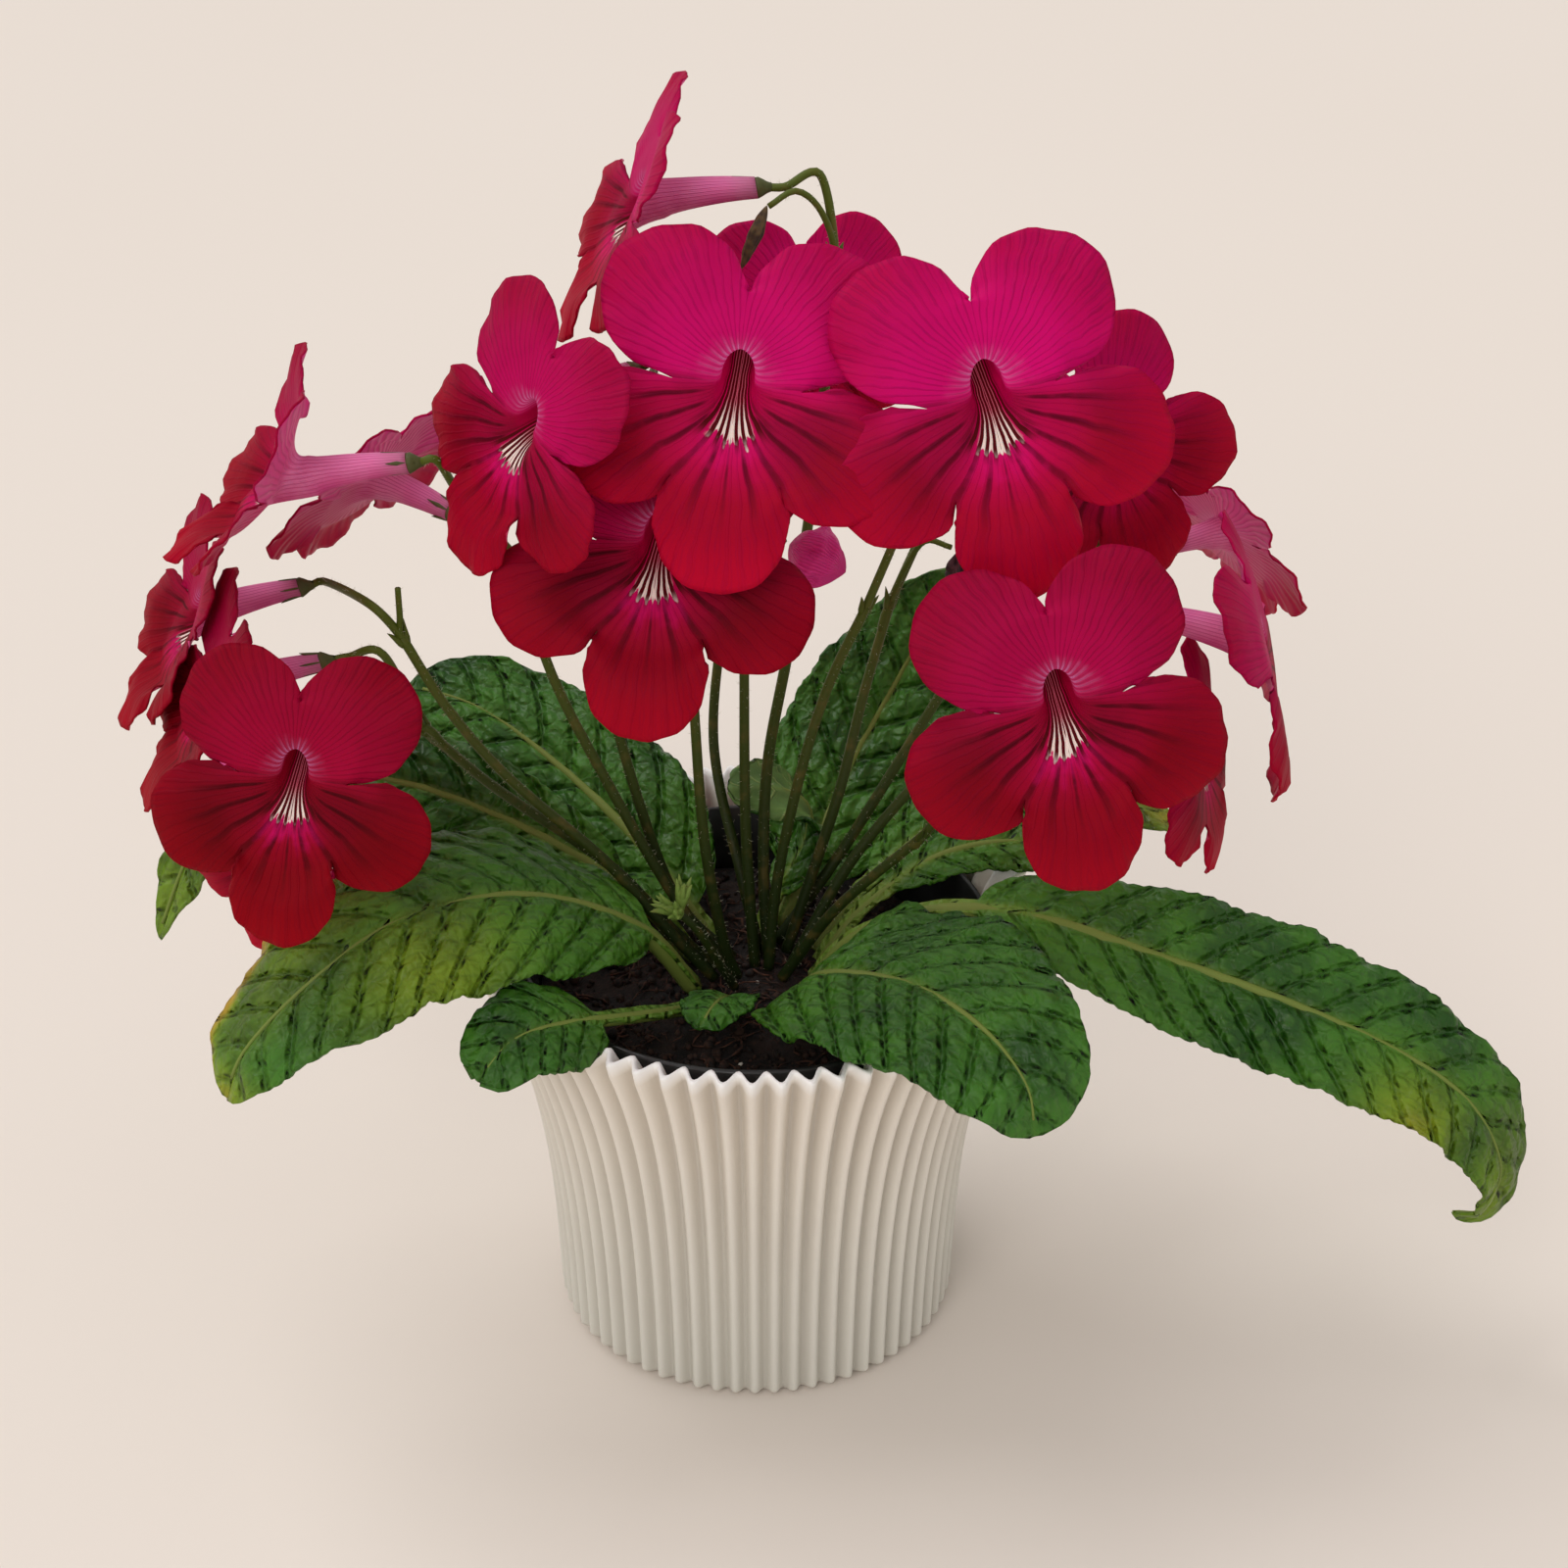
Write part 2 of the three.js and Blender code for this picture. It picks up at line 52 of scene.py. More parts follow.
# ---- helpers
def srgb(code):
    parts = [int(code[i:i + 2], 16) / 255 for i in (1, 3, 5)]
    linear = [c / 12.92 if c <= 0.04045 else ((c + 0.055) / 1.055) ** 2.4 for c in parts]
    return (*linear, 1.0)


def ease(low, high, value):
    t = min(max((value - low) / (high - low), 0.0), 1.0)
    return t * t * (3 - 2 * t)


def mix(a, b, share):
    return a + (b - a) * share


def nodeBox(name):
    low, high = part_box(name)
    return Vector(low), Vector(high)


def spline(points, count):
    # Catmull-Rom curve through the points, evenly spaced by length
    pts = [Vector(p) for p in points]
    pts = [pts[0] * 2 - pts[1]] + pts + [pts[-1] * 2 - pts[-2]]
    fine = []
    for i in range(1, len(pts) - 2):
        a, b, c, d = pts[i - 1:i + 3]
        for j in range(24):
            t = j / 24
            fine.append(0.5 * (2 * b + (c - a) * t + (2 * a - 5 * b + 4 * c - d) * t * t
                               + (3 * b - a - 3 * c + d) * t ** 3))
    fine.append(pts[-2])
    lengths = [0.0]
    for a, b in zip(fine, fine[1:]):
        lengths.append(lengths[-1] + (b - a).length)
    result = []
    k = 0
    for i in range(count + 1):
        target = lengths[-1] * i / count
        while k < len(fine) - 2 and lengths[k + 1] < target:
            k += 1
        span = max(lengths[k + 1] - lengths[k], 1e-9)
        result.append(fine[k].lerp(fine[k + 1], (target - lengths[k]) / span))
    return result, lengths[-1]


def tangents(points):
    last = len(points) - 1
    return [(points[min(i + 1, last)] - points[max(i - 1, 0)]).normalized() for i in range(last + 1)]


def sidesAlong(points, first):
    # carries one sideways direction along the curve without twisting it
    result = []
    side = first
    for along in tangents(points):
        side = (side - along * side.dot(along)).normalized()
        result.append((side, side.cross(along), along))
    return result


def addSheet(bm, columns, rows, place, layers, weld=False):
    # a grid whose corners run 0..1 each way, every vertex moved by place(u, v)
    made = bmesh.ops.create_grid(bm, x_segments=columns, y_segments=rows, size=1)["verts"]
    for vert in made:
        spot, values = place((vert.co.x + 1) / 2, (vert.co.y + 1) / 2)
        vert.co = spot
        for layer, value in zip(layers, values):
            vert[layer] = value
    if weld:
        bmesh.ops.remove_doubles(bm, verts=made, dist=1e-6)
    return made


def newLayers(bm, names):
    return [bm.verts.layers.float.new(name) for name in names]


def addRod(bm, points, radii, sides=8, up=Vector((0, 0, 1)), material=0):
    # a round rod along the points, closed at both ends
    first = tangents(points)[0].cross(up)
    if first.length < 1e-6:
        first = Vector((1, 0, 0))
    rings = []
    for (side, lift, along), spot, radius in zip(sidesAlong(points, first), points, radii):
        turn = Matrix((side, lift, along)).transposed().to_4x4()
        ring = bmesh.ops.create_circle(bm, segments=sides, radius=max(radius, 1e-5),
                                       matrix=Matrix.Translation(spot) @ turn)["verts"]
        rings.append(ring)
    faces = []
    for a, b in zip(rings, rings[1:]):
        for i in range(sides):
            j = (i + 1) % sides
            faces.append(bm.faces.new((a[i], a[j], b[j], b[i])))
    faces.append(bm.faces.new(list(reversed(rings[0]))))
    faces.append(bm.faces.new(rings[-1]))
    for face in faces:
        face.smooth = True
        face.material_index = material
    return faces


def finishMesh(name, bm, materials, replaced, smooth=True):
    bmesh.ops.recalc_face_normals(bm, faces=bm.faces)
    return placeMesh(name, bm, materials, replaced, smooth)


def placeMesh(name, bm, materials, replaced, smooth=True):
    mesh = bpy.data.meshes.new(name)
    if smooth:
        for face in bm.faces:
            face.smooth = True
    bm.to_mesh(mesh)
    bm.free()
    for material in materials:
        mesh.materials.append(material)
    piece = bpy.data.objects.new(name, mesh)
    bpy.context.scene.collection.objects.link(piece)
    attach(piece, "root")
    if replaced:
        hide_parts(replaced)
    return piece


def addCopies(bm, count):
    # fills the mesh with copies of the one shape it holds; returns the vertices of each copy
    parts = [list(bm.verts), list(bm.edges), list(bm.faces)]
    sizes = [len(part) for part in parts]
    made = 1
    while made < count:
        more = min(made, count - made)
        chosen = [item for part, size in zip(parts, sizes) for item in part[:size * more]]
        bmesh.ops.duplicate(bm, geom=chosen)
        parts = [list(bm.verts), list(bm.edges), list(bm.faces)]
        made += more
    return [parts[0][i * sizes[0]:(i + 1) * sizes[0]] for i in range(count)]


def addShell(piece, thickness):
    # thickens a sheet backwards; its back takes the second material
    shell = piece.modifiers.new("shell", "SOLIDIFY")
    shell.thickness = thickness
    shell.offset = -1
    shell.use_even_offset = False
    shell.material_offset = 1
    shell.material_offset_rim = 0


# ---- material helpers
def newMaterial(name):
    material = bpy.data.materials.new(name)
    material.use_nodes = True
    tree = material.node_tree
    return material, tree, tree.nodes["Principled BSDF"]


def addNode(tree, kind, inputs=None, **settings):
    made = tree.nodes.new(kind)
    for key, value in settings.items():
        setattr(made, key, value)
    for key, value in (inputs or {}).items():
        link(tree, value, made.inputs[key])
    return made


def link(tree, value, socket):
    # colours are given as hex codes
    if isinstance(value, bpy.types.NodeSocket):
        tree.links.new(value, socket)
    elif isinstance(value, str):
        socket.default_value = srgb(value)
    else:
        socket.default_value = value


def setInputs(shader, values):
    for key, value in values.items():
        shader.inputs[key].default_value = value


def calc(tree, operation, a, b=0.0, c=0.0):
    return addNode(tree, "ShaderNodeMath", {0: a, 1: b, 2: c}, operation=operation).outputs[0]


def times(tree, a, b):
    return calc(tree, "MULTIPLY", a, b)


def ramp(tree, value, low, high, first=0.0, last=1.0):
    made = addNode(tree, "ShaderNodeMapRange", {"Value": value, "From Min": low, "From Max": high,
                                                "To Min": first, "To Max": last},
                   interpolation_type="SMOOTHSTEP")
    return made.outputs["Result"]


def blend(tree, share, a, b, kind="MIX"):
    made = addNode(tree, "ShaderNodeMix", {0: share, 6: a, 7: b}, data_type="RGBA", blend_type=kind)
    return made.outputs[2]


def readValue(tree, name):
    return addNode(tree, "ShaderNodeAttribute", attribute_name=name).outputs["Fac"]


def objectNoise(tree, size, detail=3.0, offset=(0, 0, 0)):
    # noise whose blotches are about this many metres across
    where = addNode(tree, "ShaderNodeTexCoord").outputs["Object"]
    moved = addNode(tree, "ShaderNodeVectorMath", {0: where, 1: offset}, operation="ADD").outputs[0]
    return addNode(tree, "ShaderNodeTexNoise", {"Vector": moved, "Scale": 1 / size,
                                                "Detail": detail}).outputs["Fac"]


def bump(tree, height, distance, strength=1.0, under=None):
    inputs = {"Height": height, "Distance": distance, "Strength": strength}
    if under:
        inputs["Normal"] = under
    return addNode(tree, "ShaderNodeBump", inputs).outputs["Normal"]


# ---- materials
def potGlaze():
    # matt white bisque ceramic, faintly warm; painted reflection greys the lower wall, painted shade darkens
    # the grooves of the flutes and a painted highlight whitens the lip
    material, tree, shader = newMaterial("matt_white_ceramic")
    height = readValue(tree, "heightShare")
    grooveShade = readValue(tree, "grooveShade")
    cloud = objectNoise(tree, 0.03, 4.0)
    # greyer and cooler towards the foot: a painted reflection
    colour = blend(tree, ramp(tree, height, 0.0, 1.0), "#dbdad1", "#efe8dd")
    colour = blend(tree, ramp(tree, cloud, 0.35, 0.75, 0.0, 0.25), colour, "#d5cfc6")
    # painted shade in the grooves of the flutes
    colour = blend(tree, times(tree, grooveShade, 0.35), colour, "#a39b8f")
    # painted highlight: the rounded lip near white
    colour = blend(tree, readValue(tree, "lip"), colour, "#fbfaf8")
    link(tree, colour, shader.inputs["Base Color"])
    link(tree, ramp(tree, cloud, 0.3, 0.7, 0.42, 0.55), shader.inputs["Roughness"])
    link(tree, bump(tree, objectNoise(tree, 0.0012, 2.0), 0.00006), shader.inputs["Normal"])
    return material


def blackPlastic():
    # thin black polypropylene, dusty with peat
    material, tree, shader = newMaterial("black_nursery_plastic")
    dust = objectNoise(tree, 0.008, 5.0)
    colour = blend(tree, ramp(tree, dust, 0.55, 0.75, 0.0, 0.5), "#161616", "#3a3029")
    link(tree, colour, shader.inputs["Base Color"])
    link(tree, ramp(tree, dust, 0.4, 0.7, 0.32, 0.6), shader.inputs["Roughness"])
    return material


def peat():
    # damp dark peat with browner fibres
    material, tree, shader = newMaterial("peat_mix")
    coarse = objectNoise(tree, 0.004, 6.0)
    fine = objectNoise(tree, 0.0011, 4.0, (0.3, 0.1, 0.2))
    colour = blend(tree, ramp(tree, coarse, 0.35, 0.68), "#070403", "#22130b")
    colour = blend(tree, ramp(tree, fine, 0.58, 0.72, 0.0, 0.6), colour, "#40261a")
    link(tree, colour, shader.inputs["Base Color"])
    setInputs(shader, {"Roughness": 0.9})
    link(tree, bump(tree, fine, 0.0006), shader.inputs["Normal"])
    return material


def grain(name, dark, light, roughness=0.85):
    # small loose bits: perlite, fibres and bark
    material, tree, shader = newMaterial(name)
    cloud = objectNoise(tree, 0.002, 4.0)
    link(tree, blend(tree, ramp(tree, cloud, 0.35, 0.65), dark, light),
         shader.inputs["Base Color"])
    setInputs(shader, {"Roughness": roughness})
    link(tree, bump(tree, cloud, 0.0002), shader.inputs["Normal"])
    return material


def petalFront():
    # velvety petal face: magenta above, crimson below, dark streaks, striped cream throat
    material, tree, shader = newMaterial("petal_velvet")
    reach = readValue(tree, "reach")
    side = readValue(tree, "side")
    upper = readValue(tree, "upper")
    tint = readValue(tree, "tint")
    wobble = objectNoise(tree, 0.005, 2.0)
    cloud = objectNoise(tree, 0.016, 3.0)
    blotch = objectNoise(tree, 0.004, 4.0, (0.2, 0.4, 0.1))
    lower = calc(tree, "SUBTRACT", 1.0, upper)

    def fanned(amount, turns):
        turned = calc(tree, "MULTIPLY_ADD", wobble, amount, side)
        return calc(tree, "COSINE", times(tree, turned, turns))

    magenta = blend(tree, ramp(tree, reach, 12, 36), "#d2046e", "#b00242")
    magenta = blend(tree, ramp(tree, cloud, 0.3, 0.7, 0.0, 0.5), magenta, "#b9025c")
    crimson = blend(tree, ramp(tree, reach, 13, 25), "#cb0458", "#a8012b")
    crimson = blend(tree, ramp(tree, reach, 27, 41), crimson, "#bf022f")
    flank = times(tree, ramp(tree, side, 0.18, 0.32, 0.0, 0.4), lower)
    crimson = blend(tree, flank, crimson, "#8f0124")
    colour = blend(tree, upper, crimson, magenta)

    # dark streaks running out from the throat, and a soft dark field in the side lobes
    streak = times(tree, ramp(tree, fanned(0.012, 72.0), 0.35, 1.0), ramp(tree, reach, 33, 15))
    streak = times(tree, streak, ramp(tree, reach, 9, 12))
    streak = times(tree, times(tree, streak, lower),
                  ramp(tree, blotch, 0.25, 0.55, 0.5, 0.85))
    colour = blend(tree, streak, colour, "#470012")
    field = times(tree, ramp(tree, reach, 35, 20), ramp(tree, side, 0.12, 0.25))
    field = times(tree, times(tree, field, lower),
                 ramp(tree, cloud, 0.35, 0.6, 0.05, 0.4))
    colour = blend(tree, field, colour, "#5c0018")

    # fine branching veins, strongest towards the rim of the upper lobes
    coarse = ramp(tree, fanned(0.018, 230.0), 0.5, 1.0)
    fine = times(tree, ramp(tree, fanned(0.02, 520.0), 0.3, 1.0), ramp(tree, reach, 17, 30))
    veins = calc(tree, "MAXIMUM", coarse, fine)
    veins = times(tree, veins, ramp(tree, blotch, 0.3, 0.65, 0.1, 0.7))
    colour = blend(tree, times(tree, veins, mixValue(tree, upper, 0.25, 0.5)), colour,
                   "#7a0240")
    colour = blend(tree, tint, colour, blend(tree, 1.0, colour, (0.56, 0.5, 0.22, 1.0), "MULTIPLY"))

    # cream floor of the throat, ragged at its outer end, cut by maroon stripes
    stripes = fanned(0.03, 104.0)
    ragged = calc(tree, "MULTIPLY_ADD", stripes, -0.9, calc(tree, "MULTIPLY_ADD", blotch, 9.0, reach))
    hot = times(tree, ramp(tree, ragged, 24, 17, 0.0, 0.7), ramp(tree, side, 0.24, 0.12))
    colour = blend(tree, hot, colour, "#cf0a68")
    cream = times(tree, ramp(tree, ragged, 17.6, 16.8), ramp(tree, side, 0.2, 0.15))
    pale = blend(tree, ramp(tree, reach, 3, 9.5), "#b85568", "#f0dcd4")
    colour = blend(tree, times(tree, cream, ramp(tree, reach, -24, -8)), colour, pale)
    cut = calc(tree, "SUBTRACT", stripes, ramp(tree, reach, 5, 13.5, -0.75, -0.1))
    cut = times(tree, ramp(tree, cut, 0.0, 0.2), ramp(tree, side, 0.32, 0.24))
    colour = blend(tree, times(tree, cut, ramp(tree, reach, 16, 12)), colour, "#52060f")

    # pale lilac down in streaks on the roof of the mouth
    roof = calc(tree, "MULTIPLY_ADD", blotch, 7.0, reach)
    roof = times(tree, ramp(tree, side, 0.45, 0.75), ramp(tree, roof, 16.5, 9.5))
    roof = times(tree, roof, ramp(tree, fanned(0.02, 110.0), -0.4, 0.9, 0.1, 0.5))
    colour = blend(tree, roof, colour, "#d08ac2")
    link(tree, colour, shader.inputs["Base Color"])
    # light coming through the thin wall of the tube
    glow = blend(tree, ramp(tree, reach, 9, 3), "#000000", colour)
    link(tree, glow, shader.inputs["Emission Color"])
    setInputs(shader, {"Emission Strength": 0.28, "Roughness": 0.6, "Subsurface Weight": 0.1,
                       "Subsurface Scale": 0.001, "Specular IOR Level": 0.06})
    relief = bump(tree, coarse, 0.00018, 0.6)
    relief = bump(tree, cloud, 0.0016, 0.5, relief)
    link(tree, bump(tree, objectNoise(tree, 0.0006, 2.0), 0.00006, 0.5, relief), shader.inputs["Normal"])
    return material


def mixValue(tree, share, low, high):
    return calc(tree, "MULTIPLY_ADD", share, high - low, low)


def petalBack():
    # outer side of the flower: pink tube with magenta streaks, rosy backs of the lobes
    material, tree, shader = newMaterial("petal_back")
    reach = readValue(tree, "reach")
    side = readValue(tree, "side")
    upper = readValue(tree, "upper")
    wobble = objectNoise(tree, 0.006, 2.0)
    cloud = objectNoise(tree, 0.009, 3.0)
    swung = calc(tree, "MULTIPLY_ADD", wobble, 0.03, side)
    streaks = calc(tree, "COSINE", times(tree, swung, 82.0))
    veins = calc(tree, "COSINE", times(tree, swung, 170.0))
    lobe = blend(tree, upper, "#c00a45", "#e0338f")
    lobe = blend(tree, ramp(tree, reach, 16, 34, 0.55, 0.0), lobe, "#e5679f")
    lobe = blend(tree, ramp(tree, veins, 0.3, 1.0, 0.0, 0.35), lobe, "#a10848")
    # the tube paler along its upper side: painted highlight where the light falls on it
    tube = blend(tree, ramp(tree, side, 0.15, 0.75), "#d23a84", "#f27fba")
    tube = blend(tree, ramp(tree, cloud, 0.4, 0.7, 0.0, 0.35), tube, "#f6a5cf")
    tube = blend(tree, ramp(tree, streaks, 0.35, 0.95, 0.0, 0.5), tube, "#bd1765")
    tube = blend(tree, ramp(tree, reach, -16, -27, 0.0, 0.55), tube, "#b06a80")
    link(tree, blend(tree, ramp(tree, reach, 3, 18), tube, lobe), shader.inputs["Base Color"])
    setInputs(shader, {"Roughness": 0.5, "Specular IOR Level": 0.25,
                       "Subsurface Weight": 0.15, "Subsurface Scale": 0.001})
    relief = bump(tree, veins, 0.00014, 0.6)
    link(tree, bump(tree, cloud, 0.001, 0.5, relief), shader.inputs["Normal"])
    return material


def veinLines(tree):
    # distance to the nearest side vein in millimetres, from the running vein count
    turn = readValue(tree, "veinTurn")
    return times(tree, calc(tree, "PINGPONG", turn, 0.5), 9.5)


def leafFace():
    # wrinkled upper side: green with sunken side veins, a net of small bulges between them,
    # a thin pale midrib and yellow where the leaf fades; painted shade darkens the sunken veins and painted
    # light brightens the tops of the bulges
    material, tree, shader = newMaterial("leaf_upper")
    vein = veinLines(tree)
    rib = readValue(tree, "rib")
    fade = readValue(tree, "fade")
    fresh = readValue(tree, "fresh")
    where = addNode(tree, "ShaderNodeTexCoord").outputs["Object"]
    drift = addNode(tree, "ShaderNodeTexNoise", {"Vector": where, "Scale": 260.0}).outputs["Color"]
    drifted = addNode(tree, "ShaderNodeVectorMath", {0: drift, 1: (0.0022, 0.0022, 0.0022), 2: where},
                      operation="MULTIPLY_ADD").outputs[0]
    cells = addNode(tree, "ShaderNodeTexVoronoi", {"Vector": drifted, "Scale": 330.0, "Randomness": 1.0},
                    feature="DISTANCE_TO_EDGE").outputs["Distance"]
    across = calc(tree, "MULTIPLY_ADD", objectNoise(tree, 0.006, 2.0), 1.1, readValue(tree, "across"))
    rungs = calc(tree, "PINGPONG", across, 0.5)
    cloud = objectNoise(tree, 0.016, 4.0)
    colour = blend(tree, ramp(tree, cloud, 0.3, 0.7), "#1f4a0e", "#3e741c")
    # painted light: the middle of each small bulge lighter green
    colour = blend(tree, ramp(tree, cells, 0.1, 0.4, 0.0, 0.35), colour, "#4c7c2c")
    colour = blend(tree, times(tree, fresh, 0.6), colour, "#578a20")
    patchy = times(tree, fade, ramp(tree, cloud, 0.25, 0.6, 0.45, 1.0))
    yellow = blend(tree, ramp(tree, fade, 0.6, 1.0), "#8fa31a", "#c19a35")
    colour = blend(tree, patchy, colour, yellow)
    # painted shade in the sunken rungs and side veins
    colour = blend(tree, ramp(tree, rungs, 0.16, 0.0, 0.0, 0.22), colour, "#16380c")
    colour = blend(tree, ramp(tree, vein, 0.75, 0.1, 0.0, 0.36), colour, "#163a0f")
    colour = blend(tree, times(tree, rib, 0.8), colour, "#7d963a")
    link(tree, colour, shader.inputs["Base Color"])
    link(tree, ramp(tree, cloud, 0.3, 0.7, 0.36, 0.5), shader.inputs["Roughness"])
    setInputs(shader, {"Specular IOR Level": 0.3, "Subsurface Weight": 0.05, "Subsurface Scale": 0.001})
    relief = bump(tree, ramp(tree, vein, 0.0, 1.9), 0.0013, 0.9)
    relief = bump(tree, ramp(tree, rungs, 0.0, 0.5), 0.0007, 0.7, relief)
    relief = bump(tree, ramp(tree, cells, 0.0, 0.35), 0.0005, 0.7, relief)
    link(tree, bump(tree, objectNoise(tree, 0.0006, 2.0), 0.0001, 0.5, relief), shader.inputs["Normal"])
    return material


def leafBack():
    # underside: paler grey green with raised veins
    material, tree, shader = newMaterial("leaf_under")
    vein = ramp(tree, veinLines(tree), 0.9, 0.2)
    rib = readValue(tree, "rib")
    fade = readValue(tree, "fade")
    cloud = objectNoise(tree, 0.006, 4.0)
    colour = blend(tree, ramp(tree, cloud, 0.3, 0.7), "#466430", "#5f803d")
    colour = blend(tree, times(tree, fade, 0.8), colour, "#a3a035")
    colour = blend(tree, times(tree, vein, 0.5), colour, "#8fa45c")
    colour = blend(tree, rib, colour, "#74853a")
    link(tree, colour, shader.inputs["Base Color"])
    setInputs(shader, {"Roughness": 0.6, "Specular IOR Level": 0.3})
    relief = bump(tree, vein, 0.0006, 0.7)
    link(tree, bump(tree, cloud, 0.0006, 0.5, relief), shader.inputs["Normal"])
    return material


def stalkSkin(name, low, high):
    # downy stalk: darker at the foot, olive above
    material, tree, shader = newMaterial(name)
    where = addNode(tree, "ShaderNodeTexCoord").outputs["Object"]
    height = addNode(tree, "ShaderNodeSeparateXYZ", {0: where}).outputs["Z"]
    cloud = objectNoise(tree, 0.004, 3.0)
    colour = blend(tree, ramp(tree, height, 0.09, 0.19), low, high)
    colour = blend(tree, ramp(tree, cloud, 0.5, 0.75, 0.0, 0.4), colour, "#6d5a2a")
    link(tree, colour, shader.inputs["Base Color"])
    setInputs(shader, {"Roughness": 0.55, "Specular IOR Level": 0.25})
    link(tree, bump(tree, objectNoise(tree, 0.0008, 2.0), 0.00015), shader.inputs["Normal"])
    return material


def hairSkin():
    # pale down seen against the light
    material, tree, shader = newMaterial("pale_down")
    cloud = objectNoise(tree, 0.003, 2.0)
    link(tree, blend(tree, cloud, "#b9bd94", "#e4e3cc"), shader.inputs["Base Color"])
    setInputs(shader, {"Roughness": 0.5})
    return material


def wallPaper():
    # plain pale studio sweep
    material, tree, shader = newMaterial("studio_floor")
    cloud = objectNoise(tree, 0.4, 1.0)
    link(tree, blend(tree, cloud, "#e6dcd3", "#e9e0d8"), shader.inputs["Base Color"])
    setInputs(shader, {"Roughness": 0.9, "Specular IOR Level": 0.1})
    return material


glaze = potGlaze()
plastic = blackPlastic()
peatSoil = peat()
perlite = grain("perlite", "#cfc9bd", "#f1ede4")
fibre = grain("peat_fibre", "#1c0f09", "#553423")
bark = grain("bark_crumb", "#0e0805", "#3a2215")
petalFace = petalFront()
petalReverse = petalBack()
leafUpper = leafFace()
leafUnder = leafBack()
stalkGreen = stalkSkin("stalk_down", "#1c2a07", "#4f5c16")
sepalGreen = stalkSkin("sepal_green", "#3c4a24", "#4c4f2a")
down = hairSkin()
print("materials ready")


# ---- cover pot: one thin corrugated wall, rounded at the lip, closed by a floor
potSpec = {"flutes": 64, "perFlute": 10, "wall": 2.4 * mm, "floor": 5 * mm, "rimWave": 2.6 * mm,
           "footWave": 1.2 * mm, "phase": -0.749, "flare": 14.7 * mm, "lean": 3.2 * mm, "power": 3.2,
           "footCurve": 2.6 * mm, "lipBand": 2.2 * mm}


def buildCoverPot():
    spec = potSpec
    high = nodeBox("cover_pot")[1]
    height = high.z
    half = spec["wall"] / 2
    lipStart = height - spec["lipBand"]
    rimRadius = high.x - spec["rimWave"] - half
    footRadius = rimRadius - spec["flare"] - spec["lean"]

    def middle(z):
        k = z / height
        return footRadius + spec["lean"] * k + spec["flare"] * k ** spec["power"]

    # rows of (radius offset from the wall's middle, height, share of the wave, lip)
    rows = [(-middle(0), 0, 0, 0), (-20 * mm, 0.0, 0, 0), (-3.2 * mm, 0.0, 0.1, 0)]
    for i in range(9):
        turn = i / 8 * math.pi / 2
        rows.append((-2.4 * mm + (2.4 * mm + half) * math.sin(turn), spec["footCurve"] * (1 - math.cos(turn)),
                     mix(0.15, 1, math.sin(turn) ** 2), 0))
    for i in range(1, 34):
        z = mix(spec["footCurve"], height - half, i / 33)
        rows.append((half, z, 1, ease(lipStart, height - half, z)))
    for i in range(1, 9):
        turn = i / 8 * math.pi
        rows.append((half * math.cos(turn), height - half + half * math.sin(turn), 1, 1))
    for i in range(1, 25):
        z = mix(height - half, spec["floor"], i / 24)
        rows.append((-half, z, 1, ease(lipStart, height - half, z)))
    rows += [(-8 * mm, spec["floor"], 0.2, 0), (-middle(spec["floor"]), spec["floor"], 0, 0)]

    bm = bmesh.new()
    layers = newLayers(bm, ("heightShare", "grooveShade", "lip"))

    def place(u, v):
        out, z, share, lip = rows[round(v * (len(rows) - 1))]
        around = u * 2 * math.pi
        halfTurn = (spec["flutes"] * around - spec["phase"]) / 2
        outer = 1 - 2 * abs(math.sin(halfTurn)) ** 2.5
        inner = 2 * abs(math.cos(halfTurn)) ** 2.5 - 1
        wave = mix(inner, outer, min(max(0.5 + 0.5 * out / half, 0), 1))
        wave = mix(wave, 0.8 * math.cos(2 * halfTurn), lip)
        size = mix(spec["footWave"], spec["rimWave"], (z / height) ** 2)
        radius = max(middle(z) + out + share * size * wave, 0.0)
        # painted shade: darkest in the valleys of the flutes, inside and out, none on the lip
        grooveShade = (0.5 - 0.5 * outer if out > 0 else 0.5 + 0.5 * inner) * share * (1 - lip)
        spot = Vector((radius * math.sin(around), -radius * math.cos(around), z))
        return spot, (z / height, grooveShade, lip)

    addSheet(bm, spec["flutes"] * spec["perFlute"], len(rows) - 1, place, layers, weld=True)
    finishMesh("coverPot", bm, [glaze], "cover_pot")


def addLathe(bm, profile, columns, jitter=None):
    def place(u, v):
        radius, z = profile[round(v * (len(profile) - 1))]
        around = u * 2 * math.pi
        spot = Vector((radius * math.sin(around), -radius * math.cos(around), z))
        return (jitter(spot) if jitter and radius > 0 else spot), ()

    addSheet(bm, columns, len(profile) - 1, place, [], weld=True)


def buildNurseryPot():
    low, high = nodeBox("nursery_pot")
    top = high.z
    rim = high.x
    wall = 0.9 * mm
    foot = rim - 14.8 * mm
    profile = [(0, low.z), (foot - 1 * mm, low.z), (foot, low.z + 1 * mm)]
    for i in range(1, 12):
        k = i / 11
        profile.append((mix(foot, rim - 2.6 * mm, k), mix(low.z + mm, top - 6.5 * mm, k)))
    profile += [(rim - 0.5 * mm, top - 6.2 * mm), (rim, top - 5.6 * mm), (rim, top - 0.5 * mm),
                (rim - 0.4 * mm, top), (rim - 1.0 * mm, top), (rim - 1.3 * mm, top - 0.5 * mm)]
    for i in range(12):
        k = 1 - i / 11
        profile.append((mix(foot, rim - 2.6 * mm, k) - wall, mix(low.z + 1.5 * mm, top - 6.5 * mm, k)))
    profile.append((0, low.z + 1 * mm))
    bm = bmesh.new()
    addLathe(bm, profile, 120)
    finishMesh("nurseryPot", bm, [plastic], "nursery_pot")


